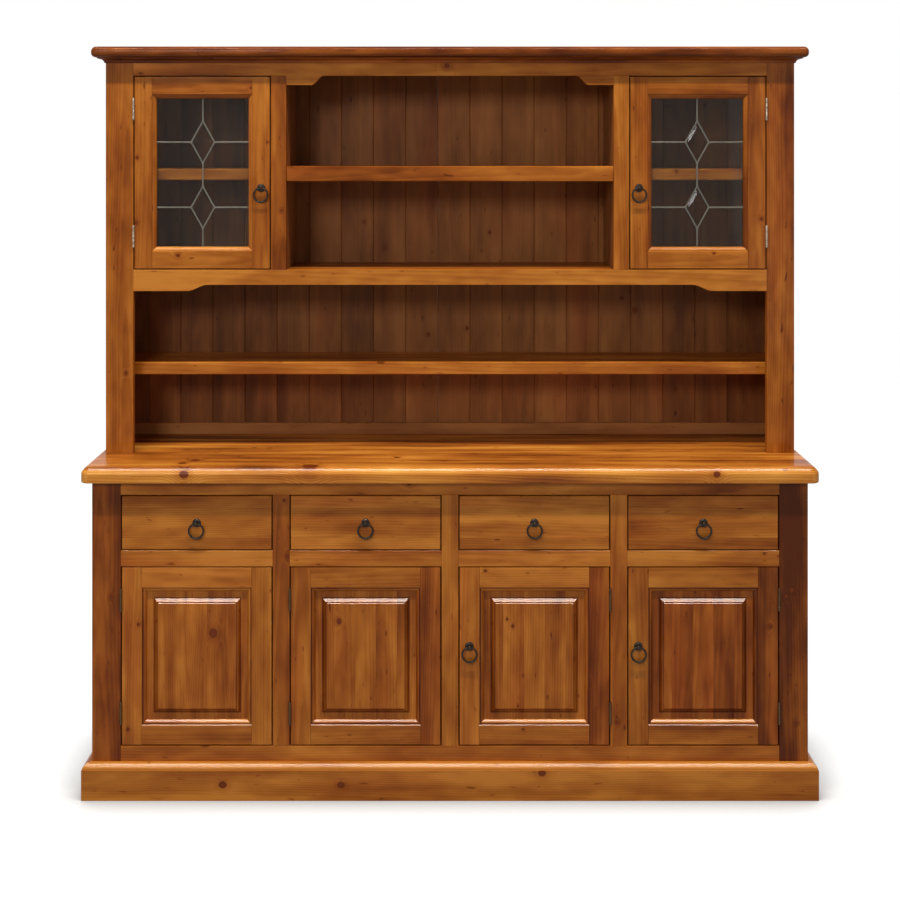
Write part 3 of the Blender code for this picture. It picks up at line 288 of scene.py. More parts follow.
def pine(name, tones, figure, rough, coat, shine, contrast=1.0, clouds=0.55, marks=1):
    """Pine from its growth: the distance to the pith, which wanders, gives the yearly rings; streaks, blotches,
    fibres and knots go over them. All of it becomes one darkness, which picks the colour from the tones. figure
    is how dark the rings are, clouds how much the mottling takes over from the streaks, and marks how many threes
    of knots a board can show."""
    material, nodes, link, shader = new_material(name, {
        "Specular IOR Level": shine, "Coat Weight": coat, "Coat Roughness": 0.09, "Coat IOR": 1.35,
    })
    along, across, depth = trace_parts(nodes, "grain")
    pith_across, pith_depth, seed = trace_parts(nodes, "heart")
    tone, red, plank = trace_parts(nodes, "finish")

    # add_times gives its first value times its second, and the third added
    times, plus, less, over, most, add_times = (
        lambda *values, way=way: calc(nodes, way, *values)
        for way in ("MULTIPLY", "ADD", "SUBTRACT", "DIVIDE", "MAXIMUM", "MULTIPLY_ADD")
    )

    def pattern(along_scale, across_scale, third, detail=1.0, rough_detail=0.5):
        """A noise with scales of its own along and across the grain."""
        spot = place(nodes, times(along, along_scale), times(across, across_scale), third)
        return noise(nodes, spot, 1.0, detail, rough_detail)

    # each board that is glued into the piece is a strip with a tree of its own, and a seam beside it
    strip = calc(nodes, "FLOOR", plus(over(across, plank), 0.5))
    within = less(across, times(strip, plank))
    own = add_times(strip, 7.31, seed)
    luck = put(nodes, "TexWhiteNoise", {"W": own}, noise_dimensions="1D").outputs["Value"]
    to_seam = less(times(plank, 0.5), calc(nodes, "ABSOLUTE", within))
    seam = slope(nodes, to_seam, 0.0, 0.0008, 1.0, 0.0)

    # the distance to a pith that wanders along the trunk
    wander = noise(nodes, place(nodes, times(along, 0.9), own, 0.0), 1.0, 0.0)
    offset = add_times(wander, 0.05, -0.025)
    ripple = pattern(5.0, 26.0, own, 3.0)
    side = less(plus(within, offset), pith_across)
    into = less(depth, pith_depth)
    ring = put(nodes, "VectorMath", {0: place(nodes, side, into, 0.0)}, operation="LENGTH").outputs["Value"]
    ring = add_times(along, 0.012, ring)
    ring = add_times(ripple, 0.006, ring)

    # each knot is a dark oval with a halo and a paler eye, and the rings bend round it
    oval = {"core": (1.08, 1.38), "halo": (1.0, 3.2), "eye": (0.1, 0.9)}
    shown = dict.fromkeys(oval, 0.0)
    knot_depths = [depth_here for group in range(marks) for depth_here in trace_parts(nodes, f"depths_{group}")]
    for number, knot_depth in enumerate(knot_depths):
        knot_along, knot_across, radius = trace_parts(nodes, f"knot_{number}")
        size = most(radius, 0.0001)
        up = over(less(along, knot_along), size)
        out = over(less(across, knot_across), size)
        deep = over(less(depth, knot_depth), size)
        ends = calc(nodes, "LESS_THAN", knot_depth, THROUGH - 1)
        square = add_times(up, times(up, 0.72), times(out, out))
        square = add_times(times(deep, deep), ends, square)
        far = add_times(ripple, 0.5, calc(nodes, "SQRT", square))
        there = calc(nodes, "GREATER_THAN", radius, 0.0005)
        for part, (start, end) in oval.items():
            share = times(slope(nodes, far, start, end, 1.0, 0.0), there)
            shown[part] = most(shown[part], share)
        stretch = add_times(up, times(up, 0.14), times(out, times(out, 0.30)))
        bend = times(calc(nodes, "POWER", 2.718, times(stretch, -1.0)), radius)
        ring = add_times(bend, times(there, 1.6), ring)

    # a year's ring is 6 mm wide, darker toward its end, and the other patterns follow the grain
    uneven = noise(nodes, place(nodes, times(ring, 40.0), own, 0.0), 1.0, 0.0)
    year = calc(nodes, "FRACT", plus(over(ring, 0.0062), uneven))
    late = times(slope(nodes, year, 0.25, 0.88), slope(nodes, year, 0.92, 1.0, 1.0, 0.0))
    streak = pattern(1.6, 22.0, add_times(depth, 20.0, own))
    blotch = pattern(2.2, 9.0, plus(own, 3.3), 1.0, 0.55)
    fibre = pattern(16.0, 620.0, times(depth, 620.0), 1.0, 0.6)
    flush = pattern(1.7, 13.0, plus(own, 9.1))
    mottle = pattern(11.0, 36.0, add_times(depth, 30.0, own))
    flecks = slope(nodes, pattern(34.0, 95.0, own, 0.0), 0.76, 0.90)

    layers = [
        (streak, 1.34 - clouds), (blotch, 0.85), (mottle, clouds), (flecks, 0.40), (fibre, 0.10), (luck, 0.13),
        (shown["halo"], 0.14), (seam, 0.10),
    ]
    darkness = times(late, figure)
    for layer, weight in layers:
        darkness = add_times(layer, weight, darkness)
    darkness = less(add_times(darkness, contrast, 0.42 - 1.22 * contrast), tone)
    ramp = put(nodes, "ValToRGB", {0: darkness})
    stops = ramp.color_ramp.elements
    stops[0].position, stops[0].color = 0.0, (*tones[0], 1)
    stops[1].position, stops[1].color = 1.0, (*tones[-1], 1)
    for step, colour in enumerate(tones[1:-1], 1):
        stops.new(step / (len(tones) - 1)).color = (*colour, 1)
    redness = most(plus(slope(nodes, flush, 0.5, 0.85, 0.0, 0.45), red), 0.0)
    colour = tint(nodes, redness, ramp.outputs[0], (1.0, 0.62, 0.60, 1), "MULTIPLY")
    colour = tint(nodes, shown["core"], colour, (0.150, 0.028, 0.004, 1))
    colour = tint(nodes, times(shown["eye"], 0.25), colour, (0.20, 0.042, 0.007, 1))
    link(colour, shader.inputs["Base Color"])

    dull = add_times(fibre, 0.10, rough)
    link(add_times(late, -0.04, dull), shader.inputs["Roughness"])
    relief = add_times(seam, -1.2, fibre)
    bump = put(nodes, "Bump", {"Height": relief, "Strength": 0.12, "Distance": 0.0003})
    link(bump.outputs[0], shader.inputs["Normal"])
    return material


stained_pine = pine(
    "stained_pine",
    [(0.56, 0.208, 0.029), (0.42, 0.136, 0.016), (0.30, 0.081, 0.008), (0.18, 0.041, 0.003), (0.09, 0.017, 0.001)],
    figure=0.12, rough=0.40, coat=0.28, shine=0.02, contrast=0.98,
)
inside_pine = pine(
    "inside_pine",
    [(0.38, 0.150, 0.042), (0.29, 0.106, 0.029), (0.21, 0.073, 0.020), (0.13, 0.043, 0.013), (0.06, 0.021, 0.007)],
    figure=0.10, rough=0.46, coat=0.0, shine=0.12, contrast=0.8,
)

for side in ("left", "right"):
    single_board(f"base_side_{side}", stained_pine, "pine", "zyx", plank=0.152, tone=0.06)
single_board("base_bottom", inside_pine, "inside_pine", "xyz", plank=0.11)
single_board("base_back", inside_pine, "inside_pine", "zxy", plank=0.124)

# ---------------- Face frame of the base
# Two posts, three mullions and three rails of 22 mm pine, tenoned and glued flush. They leave gaps for the
# drawers and doors, and each door opening has the fixed halves of two brass butt hinges.
SWING = 0.002  # the solids' clearance on each side of a drawer or door
bays = []
for number in (1, 2, 3, 4):
    low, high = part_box(f"drawer_{number}_front")
    bays.append((low[0] - SWING, high[0] + SWING))
front_low, front_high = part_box("drawer_1_front")
base_front = front_low[1]
drawer_sill, drawer_head = front_low[2] - SWING, front_high[2] + SWING
door_low, door_high = (corner[2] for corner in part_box("base_door_1_frame"))
door_sill, door_head = door_low - SWING, door_high + SWING
side_low, side_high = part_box("base_side_right")
base_half, base_top, base_inside = side_high[0], side_high[2], side_low[1] - JOINT


def upright(low_x, high_x, low_z, high_z, front=base_front, inside=base_inside, **wood):
    """A post, mullion or mid stile of a face frame, all but sharp where a rail meets it."""
    return board((low_x, front, low_z), (high_x, inside, high_z), "zxy", (0.0004, 0.0010, 0.0002), **wood)


def rail(low_x, high_x, low_z, high_z, radius=(0.0002, 0.0012, 0.0012), **wood):
    """A rail of the base's face frame, all but sharp at its ends."""
    return board((low_x, base_front, low_z), (high_x, base_inside, high_z), "xzy", radius, **wood)


frame_boards = [
    upright(-base_half, bays[0][0], 0, base_top, tone=-0.16, red=0.15),
    upright(bays[3][1], base_half, 0, base_top, tone=-0.41, red=0.05,
            knots=[(0.576, 0.952, 0.006), (0.559, 0.936, 0.005), (0.205, 0.965, 0.005)]),
    rail(bays[0][0], bays[3][1], drawer_head, base_top, tone=0.22),
    rail(bays[0][0], bays[3][1], 0, door_sill, tone=0.11),
]
mullions = (
    dict(tone=-0.10, red=0.10, knots=[(0.826, -0.462, 0.005), (0.670, -0.451, 0.006)]),
    dict(tone=0.26, red=0.03),
    dict(tone=0.29, red=0.10),
)
for bay, next_bay, wood in zip(bays, bays[1:], mullions):
    frame_boards.append(upright(bay[1], next_bay[0], door_sill, drawer_head, **wood))
for low, high in bays:
    frame_boards.append(rail(low, high, door_head, drawer_sill, (0.0002, 0.0004, 0.0004), tone=0.22))
assemble("base_face_frame_boards", frame_boards, stained_pine, "carcase", "pine", "base_face_frame")

# The hinges: five knuckles on a pin, leaves let into the door and the frame, of brass that has dulled.
KNUCKLE, HINGE = 0.0035, 0.063  # a knuckle's radius and a hinge's length
PIN, PIN_END = 0.0015, 0.0009  # the pin's radius, and how far it stands out at each end
LEAF_NEAR, LEAF_FAR, LEAF_DEEP = 0.0002, 0.0011, 0.018  # a leaf's faces, from the axis, and its depth
RUNNING = 0.0003  # the clearance between two knuckles, and behind them


def turned(outline, sides, centre, axis="z"):
    """A turned shape: at angle t the point is the centre plus (radius cos t, radius sin t) across the axis and
    the height along it, for each (radius, height) of the outline."""
    outline = np.array(outline, float)
    angle = np.arange(sides) * 2 * np.pi / sides
    radius, height = outline[:, :1], outline[:, 1:]
    first, second = radius * np.cos(angle), radius * np.sin(angle)
    third = np.broadcast_to(height, first.shape)
    parts = {"z": (first, second, third), "y": (first, third, second), "x": (third, first, second)}[axis]
    return skin(np.stack(parts, axis=-1) + np.array(centre))


def plain(shape):
    """A shape with no grain."""
    points, faces = shape
    return {"points": points, "faces": faces}


def hinge_half(x, front, z, toward, fixed):
    """One half of a butt hinge: its knuckles, which stand before the front, each with a tab back to the leaf, the
    pin's ends if it is the fixed half, and the leaf, behind the front on the side that toward gives."""
    y = front - KNUCKLE - RUNNING
    pitch = (HINGE + RUNNING) / 5
    ease = 0.0004
    leaf_low, leaf_high = sorted((x + LEAF_NEAR * toward, x + LEAF_FAR * toward))
    shapes = []
    for number in ((0, 2, 4) if fixed else (1, 3)):
        low = number * pitch - HINGE / 2
        high = low + pitch - RUNNING
        outline = [(0, low), (KNUCKLE - ease, low), (KNUCKLE, low + ease)]
        outline += [(KNUCKLE, high - ease), (KNUCKLE - ease, high), (0, high)]
        shapes.append(turned(outline, 20, (x, y, z)))
        tab_low = (leaf_low, front - 0.0030, z + low + RUNNING)
        shapes.append(eased_block(tab_low, (leaf_high, front + 0.0006, z + high - RUNNING), 0.0001))
    if fixed:
        for end in (-1, 1):
            rim, tip = sorted((end * HINGE / 2, end * (HINGE / 2 + PIN_END)))
            shapes.append(turned([(0, rim), (PIN, rim), (PIN, tip), (0, tip)], 16, (x, y, z)))
    shapes.append(eased_block(
        (leaf_low, front + RUNNING, z - HINGE / 2), (leaf_high, front + LEAF_DEEP, z + HINGE / 2), 0.0002
    ))
    return [plain(shape) for shape in shapes]


def hinge_halves(axes, heights, front, fixed):
    """The fixed or the moving halves of hinges. Each axis is its x and the side, -1 or 1, that its door is hung
    on; a fixed leaf lies on that side of it and a moving one on the other."""
    shapes = []
    for x, hand in axes:
        for height in heights:
            shapes += hinge_half(x, front, height, hand if fixed else -hand, fixed)
    return shapes


def dulled_metal(name, colour, worn, rough, metallic, grain_size):
    """Metal with a patina: a cloud noise mixes its colour with the one it has worn to and dulls it there."""
    material, nodes, link, shader = new_material(name, {"Metallic": metallic})
    spot = put(nodes, "TexCoord").outputs["Object"]
    cloud = noise(nodes, spot, grain_size, 4.0, 0.6)
    pitted = noise(nodes, spot, grain_size * 9, 2.0, 0.6)
    patina = slope(nodes, cloud, 0.42, 0.62)
    link(tint(nodes, patina, (*colour, 1), (*worn, 1)), shader.inputs["Base Color"])
    dull = calc(nodes, "MULTIPLY_ADD", patina, 0.25, calc(nodes, "MULTIPLY_ADD", pitted, 0.15, rough))
    link(dull, shader.inputs["Roughness"])
    relief = calc(nodes, "MULTIPLY_ADD", cloud, 0.7, pitted)
    bump = put(nodes, "Bump", {"Height": relief, "Strength": 0.35, "Distance": 0.0003})
    link(bump.outputs[0], shader.inputs["Normal"])
    return material


hinge_brass = dulled_metal(
    "hinge_brass", (0.090, 0.052, 0.026), (0.040, 0.020, 0.010), rough=0.24, metallic=1.0, grain_size=500
)
base_axes = [
    (low + SWING / 2 if hand < 0 else high - SWING / 2, hand) for (low, high), hand in zip(bays, (-1, -1, 1, 1))
]
hinge_inset = 0.090
base_hinge_heights = (door_low + hinge_inset, door_high - hinge_inset)
fixed_halves = hinge_halves(base_axes, base_hinge_heights, base_front, True)
assemble("base_hinges_fixed", fixed_halves, hinge_brass, "carcase", "iron")

# ---------------- Plinth
# A 100 mm board round the front and sides, mitred at the corners, with a small fillet and an ovolo worked
# along its top. Golden pine with dark knots, glued and pinned to the base.
PLINTH_FLAT = 48.85  # the flats on worked edges face up by the angle at which they show the lamp


def worked_edge(radius, flat, facing, steps=12):
    """A rounded edge with a flat on it: a quarter circle, drawn apart by a straight of the flat's length where
    its slope is the angle that the flat faces up by. Returns how far it is drawn in and how high it is, from
    the edge's foot."""
    turn = np.radians(np.concatenate([np.linspace(0, facing, steps), np.linspace(facing, 90, steps)]))
    past = np.repeat([0, flat], steps)
    inward = radius * (1 - np.cos(turn)) + past * np.sin(np.radians(facing))
    upward = radius * np.sin(turn) + past * np.cos(np.radians(facing))
    return inward, upward


def mitred_runs(profile, path, lift, closed, side_order, painted_shade_and_tone=0.0, **wood):
    """A moulding carried round a path: at a corner the point is the corner plus the profile's reach times the
    mitre, the sum of the two sides' normals over one plus their product, and the profile's rise out of the
    path's plane. Each side of the path is a run of its own, cut in the order xzy along X and otherwise in
    side_order."""
    path = np.array(path, float)
    count = len(path) if closed else len(path) - 1
    way = np.roll(path, -1, axis=0) - path
    way = (way / np.linalg.norm(way, axis=1)[:, None])[:count]
    normal = np.stack([way[:, 1], -way[:, 0]], axis=1)
    reach, rise = np.array(profile, float).T
    runs = []
    for number in range(count):
        loops = []
        for end, other in ((0, number - 1), (1, (number + 1) % count)):
            mitre = normal[number]
            if closed or 0 < number + end < count:
                mitre = (normal[number] + normal[other]) / (1 + normal[number] @ normal[other])
            corner = path[(number + end) % len(path)] + way[number] * (EDGE_GAP if end == 0 else -EDGE_GAP)
            loops.append(lift(corner + reach[:, None] * mitre, rise))
        chosen = {key: value[number] if isinstance(value, list) else value for key, value in wood.items()}
        order = "xzy" if abs(way[number][0]) > 0.5 else side_order
        shade_and_tone = np.tile(np.broadcast_to(painted_shade_and_tone, len(profile)), 2)
        runs.append(cut_from(skin(np.stack(loops)), order, painted_shade_and_tone=shade_and_tone, **chosen))
    return runs


def runs_round(profile, half, front, back, **wood):
    """A moulding round the front and both sides of a carcase, from its back on the left to that on the right."""
    path = [(-half, back), (-half, front), (half, front), (half, back)]
    return mitred_runs(profile, path, lambda flat, rise: np.column_stack([flat, rise]), False, "yzx", **wood)


plinth_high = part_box("plinth")[1]
x, y, back = base_half + JOINT, base_front - JOINT, plinth_high[1]
thick = plinth_high[0] - x
ledge = thick - 0.002  # the fillet under the moulding
face_top = plinth_high[2] - 0.016  # the moulding is 16 mm high
plinth_profile = [
    (0, 0.0), (thick - 0.0008, 0.0), (thick, 0.0008), (thick, face_top - 0.0006), (thick - 0.0006, face_top),
    (ledge, face_top), (0, face_top),
]
inward, upward = worked_edge(radius=0.0070, flat=0.0092, facing=PLINTH_FLAT)
rounding = zip(ledge - inward, plinth_high[2] - upward[-1] + upward)
moulding_profile = [(0, face_top), (ledge, face_top), *rounding, (0, plinth_high[2])]
plinth_knots = [(-0.629, 0.045, 0.010), (0.255, 0.077, 0.009), (-0.302, 0.044, 0.009)]
plinth_runs = runs_round(plinth_profile, x, y, back, tone=[0.0, 0.22, 0.0], knots=[(), plinth_knots, ()])
# The moulding is a run apart from the board so it can be toned paler, a painted highlight on its up-facing ovolo,
# most on the front.
plinth_runs += runs_round(moulding_profile, x, y, back, tone=[0.2, 0.6, 0.2], red=-0.2)
assemble("plinth_mouldings", plinth_runs, stained_pine, "carcase", "pine", "plinth")

# ---------------- Drawer board
# A raw pine board behind the mid rail that the drawers run on, with a guide planted between each two
# drawers and at both ends.
raw_pine = pine(
    "raw_pine",
    [(0.68, 0.50, 0.28), (0.58, 0.40, 0.20), (0.48, 0.31, 0.14), (0.36, 0.21, 0.085), (0.20, 0.10, 0.04)],
    figure=0.30, rough=0.62, coat=0.0, shine=0.30,
)
low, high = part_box("drawer_board")
guide_edges = [low[0]] + [edge for bay in bays for edge in bay] + [high[0]]
shapes = [board(low, (high[0], high[1], drawer_sill), "xyz", plank=0.11)]
for left, right in zip(guide_edges[::2], guide_edges[1::2]):
    shapes.append(board((left, low[1], drawer_sill), (right, high[1], high[2]), "yxz"))
assemble("drawer_board_and_guides", shapes, raw_pine, "carcase", "drawer_wood", "drawer_board")

# ---------------- Worktop
# A 45 mm top glued up from boards along its length, rounded over along the front and sides and square at
# the back. Its varnish is thicker and glossier than the front's. It is screwed down from inside.
WORKTOP_FLAT = 42.25


def rounded_slab(low, high, top_edge, under_radius, corner_radius, steps=6):
    """A slab whose front and side edges are rounded: the outline, with arcs at its front corners, is drawn in by
    the top edge's curve, and below by radius times (1 - sin a) at the height radius times (1 - cos a)."""
    turn = np.linspace(0, np.pi / 2, steps + 1)
    draw_in = np.concatenate([under_radius * (1 - np.sin(turn)), top_edge[0]])
    level = np.concatenate([low[2] + under_radius * (1 - np.cos(turn)), high[2] - top_edge[1][-1] + top_edge[1]])
    loops = []
    for inset, z in zip(draw_in, level):
        reach = max(corner_radius - inset, 0.0005)
        left, right = low[0] + inset, high[0] - inset
        x = np.concatenate([left + reach - reach * np.cos(turn), right - reach + reach * np.sin(turn)])
        y = low[1] + inset + reach - reach * np.concatenate([np.sin(turn), np.cos(turn)])
        flat = np.concatenate([[(left, high[1])], np.column_stack([x, y]), [(right, high[1])]])
        loops.append(np.column_stack([flat, np.full(len(flat), z)]))
    return skin(np.stack(loops))


worktop_pine = pine(
    "worktop_pine",
    [(0.80, 0.370, 0.068), (0.65, 0.258, 0.036), (0.49, 0.160, 0.018), (0.29, 0.076, 0.009), (0.10, 0.021, 0.003)],
    figure=0.16, rough=0.36, coat=0.30, shine=0.04, contrast=1.3, clouds=0.25, marks=2,
)
worktop_low, worktop_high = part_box("worktop")
worktop_edge = worked_edge(radius=0.017, flat=0.007, facing=WORKTOP_FLAT)
worktop_shape = rounded_slab(worktop_low, worktop_high, worktop_edge, under_radius=0.004, corner_radius=0.0235)
edge_top = 0.916  # the level at which the front edge has rounded over into the top
along, back, height = worktop_shape[0].T
# The front edge's face is painted paler, more so toward the left, and the back half of the top darker, painted
# shade under the hutch.
shade_and_tone = np.where(height < edge_top, 0.17 * along - 0.27, 0.0)
shade_and_tone += np.where((height > edge_top) & (back > 0), 0.2, 0.0)
worktop_knots = [
    (-0.388, -0.222, 0.018, 0.924), (-0.736, -0.245, 0.0125, 0.905), (0.738, -0.245, 0.009, 0.906),
    (-0.750, -0.188, 0.011, 0.924), (-0.722, -0.150, 0.009, 0.924), (-0.151, -0.112, 0.008, 0.924),
]
worktop_wood = dict(plank=0.098, tone=-0.05, red=-0.30, painted_shade_and_tone=shade_and_tone, luck=4, knots=worktop_knots)
assemble(
    "worktop_board", [cut_from(worktop_shape, "xyz", **worktop_wood)],
    worktop_pine, "carcase", "worktop_pine", "worktop",
)

# ---------------- Drawers
# Flush fronts of stained pine with eased edges, screwed to boxes of raw pine: two sides, a back and a thin
# bottom let in above their lower edge.
GAP_EASE = 0.0012  # the gaps round drawers and doors are this much wider than the solids' clearance
DRAWER_WALL = 0.012
for number, tone in enumerate((0.18, 0.43, 0.19, 0.05), 1):
    body = f"drawer_{number}"
    low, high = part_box(f"{body}_front")
    ease = np.array([GAP_EASE, 0, GAP_EASE])
    front = board(np.array(low) + ease, np.array(high) - ease, "xzy", 0.0014, plank=0.083, tone=tone)
    assemble(f"{body}_front_board", [front], stained_pine, body, "pine", f"{body}_front")
    low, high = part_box(f"{body}_box")
    inner_low, inner_high, inner_back = low[0] + DRAWER_WALL, high[0] - DRAWER_WALL, high[1] - DRAWER_WALL
    floor_low, floor_high = low[2] + 0.008, low[2] + 0.014
    shapes = [
        board(low, (inner_low, high[1], high[2]), "yzx"),
        board((inner_high, low[1], low[2]), high, "yzx"),
        board((inner_low, inner_back, low[2]), (inner_high, high[1], high[2]), "xzy"),
        board((inner_low, low[1], floor_low), (inner_high, inner_back, floor_high), "xyz", 0.0005, plank=0.14),
    ]
    assemble(f"{body}_box_boards", shapes, raw_pine, body, "drawer_wood", f"{body}_box")

# ---------------- Ring pulls
# Cast iron with a black patina: a turned rose with a rim and a dome, a neck and a bored ball, and a ring
# through the bore. A screw through the front holds each one.
dark_iron = dulled_metal(
    "dark_iron", (0.012, 0.006, 0.003), (0.022, 0.013, 0.007), rough=0.12, metallic=0.60, grain_size=260
)
BALL, REACH, NECK = 0.0065, 0.011, 0.0038  # the ball's radius, how far out it stands, and the neck's radius
RING_RADIUS, WIRE = 0.0201, 0.0029


def rose_shape(sides=36):
    """The rose, neck and ball as one turned outline about Y, with the bore cut across it."""
    around = np.linspace(0.001, np.pi - np.arcsin(NECK / BALL), 15)
    outline = [(BALL * np.sin(angle), -REACH - BALL * np.cos(angle)) for angle in around]
    outline += [(0.0036, -0.0042), (NECK, -0.0036)]
    dome_angle = np.linspace(0, np.pi / 2, 7)[1:-1]
    outline += [(NECK + 0.0062 * np.sin(angle), -0.0012 - 0.0024 * np.cos(angle)) for angle in dome_angle]
    outline += [(0.0104, -0.0012), (0.0112, -0.0012), (0.0118, -0.0009), (0.0120, -0.0004), (0.0120, 0.0)]
    turnings = {
        "rose": turned(outline, sides, (0, 0, 0), "y"),
        "drill": turned([(0.0037, -0.009), (0.0037, 0.009)], 24, (0, -REACH, 0), "x"),
    }
    items = []
    for name, (points, faces) in turnings.items():
        mesh = bpy.data.meshes.new(name)
        mesh.from_pydata(points.tolist(), [], faces)
        tidy_mesh(mesh)
        items.append(bpy.data.objects.new(name, mesh))
        bpy.context.collection.objects.link(items[-1])
    rose, drill = items
    bore = rose.modifiers.new("bore", "BOOLEAN")
    bore.operation = "DIFFERENCE"
    bore.solver = "EXACT"
    bore.object = drill
    bpy.context.view_layer.update()
    bored = bpy.data.meshes.new_from_object(rose.evaluated_get(bpy.context.evaluated_depsgraph_get()))
    points = np.array([vertex.co for vertex in bored.vertices])
    faces = [list(face.vertices) for face in bored.polygons]
    for item in items:
        bpy.data.objects.remove(item)
    return points, faces


def ring_shape(centre, around=72, across=14):
    """A ring: at angle s round it and t round its wire the point is ((R + r cos t) cos s, r sin t, (R + r cos t)
    sin s), where r swells and shrinks a little as hammered wire does."""
    s = np.arange(around)[:, None] * 2 * np.pi / around
    t = np.arange(across) * 2 * np.pi / across
    r = WIRE * (1 - 0.03 * (1 + np.sin(5 * s + 2 * t) * np.cos(3 * s)))
    out = RING_RADIUS + r * np.cos(t)
    points = np.stack([out * np.cos(s), r * np.sin(t), out * np.sin(s)], axis=-1).reshape(-1, 3) + np.array(centre)
    number = np.arange(around * across).reshape(around, across)
    ahead, beside = np.roll(number, -1, axis=0), np.roll(number, -1, axis=1)
    faces = np.stack([number, beside, np.roll(ahead, -1, axis=1), ahead], axis=-1).reshape(-1, 4)
    return points, faces.tolist()


rose_points, rose_faces = rose_shape()
for owner in (
    "drawer_1", "drawer_2", "drawer_3", "drawer_4",
    "base_door_3", "base_door_4", "glazed_door_left", "glazed_door_right",
):
    low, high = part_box(f"{owner}_pull_rose")
    middle = np.array([(low[0] + high[0]) / 2, high[1], (low[2] + high[2]) / 2])
    rose = plain((rose_points + middle, rose_faces))
    assemble(f"{owner}_rose_and_ball", [rose], dark_iron, owner, "iron", f"{owner}_pull_rose")
    ring = plain(ring_shape(middle - np.array([0, REACH, RING_RADIUS])))
    assemble(f"{owner}_ring_casting", [ring], dark_iron, f"{owner}_ring", "iron", f"{owner}_ring")

# ---------------- Base doors
# Two stiles and two rails with a quirk and an ovolo worked on their inner edges, and a raised and fielded
# panel that floats in their groove. Each hangs on the moving halves of two butt hinges.
DOOR_FLAT, PANEL_FLAT = 48.3, 45.7


def lift_back(face_y):
    """From the front plane: x and z as they are, and the profile's rise taken back from the face."""
    return lambda flat, rise: np.column_stack([flat[:, 0], face_y - rise, flat[:, 1]])


def door_members(
    low_x, high_x, low_z, high_z, face_y, member, moulding_width, moulding_depth, groove, facing, woods
):
    """Stiles, rails and the mitred moulding of a door frame, a gap's ease inside the solid's edges. The moulding's
    section starts at the member's edge with a quirk, and goes on down to its depth as a worked edge whose flat
    faces up by the given angle. The quirk and the moulding's foot are painted darker, painted shade in these
    recesses, and each run is painted paler or darker by the way it faces, painted light and shade."""
    low_x, high_x, low_z, high_z = low_x + GAP_EASE, high_x - GAP_EASE, low_z + GAP_EASE, high_z - GAP_EASE
    member -= GAP_EASE
    thick = 0.022
    back, left_in, right_in = face_y + thick, low_x + member, high_x - member
    stile_ease, top_ease, bottom_ease = (0.0005, 0.0010, 0.0012), (0.0002, 0.0008, 0.0012), (0.0002, 0.0018, 0.0016)
    left_wood, right_wood, top_wood, bottom_wood = woods
    shapes = [
        board((low_x, face_y, low_z), (left_in, back, high_z), "zxy", stile_ease, **left_wood),
        board((right_in, face_y, low_z), (high_x, back, high_z), "zxy", stile_ease, **right_wood),
        board((left_in, face_y, high_z - member), (right_in, back, high_z), "xzy", top_ease, **top_wood),
        board((left_in, face_y, low_z), (right_in, back, low_z + member), "xzy", bottom_ease, **bottom_wood),
    ]
    quirk, flat = 0.0020, 0.0052
    inward, upward = worked_edge(moulding_depth - quirk - flat * np.sin(np.radians(facing)), flat, facing)
    inner = member + moulding_width
    quirk_end = inner - upward[-1]
    rebate = inner - 0.008
    profile = [(member, -quirk - 0.0002), (quirk_end - 0.0002, -quirk - 0.0002)]
    profile += list(zip(quirk_end + upward, -quirk - inward))
    profile += [(rebate, -moulding_depth), (rebate, -moulding_depth - groove), (inner, -moulding_depth - groove)]
    profile += [(inner, 0.0002 - thick), (member, 0.0002 - thick)]
    # painted shade in the quirk and at the moulding's foot, where these recesses fall in shadow
    shade_and_tone = np.zeros(len(profile))
    shade_and_tone[:2], shade_and_tone[-6:-4] = 0.45, 0.3
    corners = [(low_x, low_z), (low_x, high_z), (high_x, high_z), (high_x, low_z)]
    run_woods = (left_wood, top_wood, right_wood, bottom_wood)
    # each run's tone is shifted as painted light: the bottom run, facing up, is paler as a painted highlight, and
    # the left and top runs are darker as painted shade
    shapes += mitred_runs(
        profile, corners, lift_back(face_y), True, "zxy", painted_shade_and_tone=shade_and_tone,
        tone=[wood.get("tone", 0) + painted_light for wood, painted_light in zip(run_woods, (-0.1, -0.05, 0, 0.25))],
        red=[wood.get("red", 0) for wood in run_woods],
    )
    return shapes


def fielded_panel(low, high, border, bevel, tongue, **wood):
    """A raised panel: rectangles drawn in one after another from the tongue's edge, each at its own depth. A
    straight bevel rises from the border, then come a quirk and a worked edge up to the field. The border's inner
    edge and the quirk are painted darker, painted shade in these recesses."""
    ground = low[1] + (high[1] - low[1] - tongue)
    bevel_end, quirk, drop = border + bevel, 0.0026, 0.0008
    quirk_face = ground - bevel * np.tan(np.radians(PANEL_FLAT))
    steps = [
        (0, high[1]), (0, ground + 0.0004), (0.0004, ground),
        (border - 0.0026, ground), (border - 0.0024, ground), (border, ground),
        (bevel_end, quirk_face), (bevel_end + 0.0003, quirk_face), (bevel_end + 0.0004, quirk_face + drop),
        (bevel_end + quirk, quirk_face + drop),
    ]
    inward, upward = worked_edge(radius=0.0008, flat=0.0021, facing=PANEL_FLAT)
    steps += list(zip(bevel_end + quirk + upward, low[1] + inward[-1] - inward))
    loops = []
    for inset, y in steps:
        left, right, under, over = low[0] + inset, high[0] - inset, low[2] + inset, high[2] - inset
        loops.append([(left, y, under), (right, y, under), (right, y, over), (left, y, over)])
    # painted shade along the border's inner edge and in the quirk
    shade_and_tone = np.zeros(len(steps))
    shade_and_tone[4:6], shade_and_tone[7:10] = 0.45, 0.45
    return cut_from(skin(np.array(loops)), "zxy", painted_shade_and_tone=np.repeat(shade_and_tone, 4), **wood)


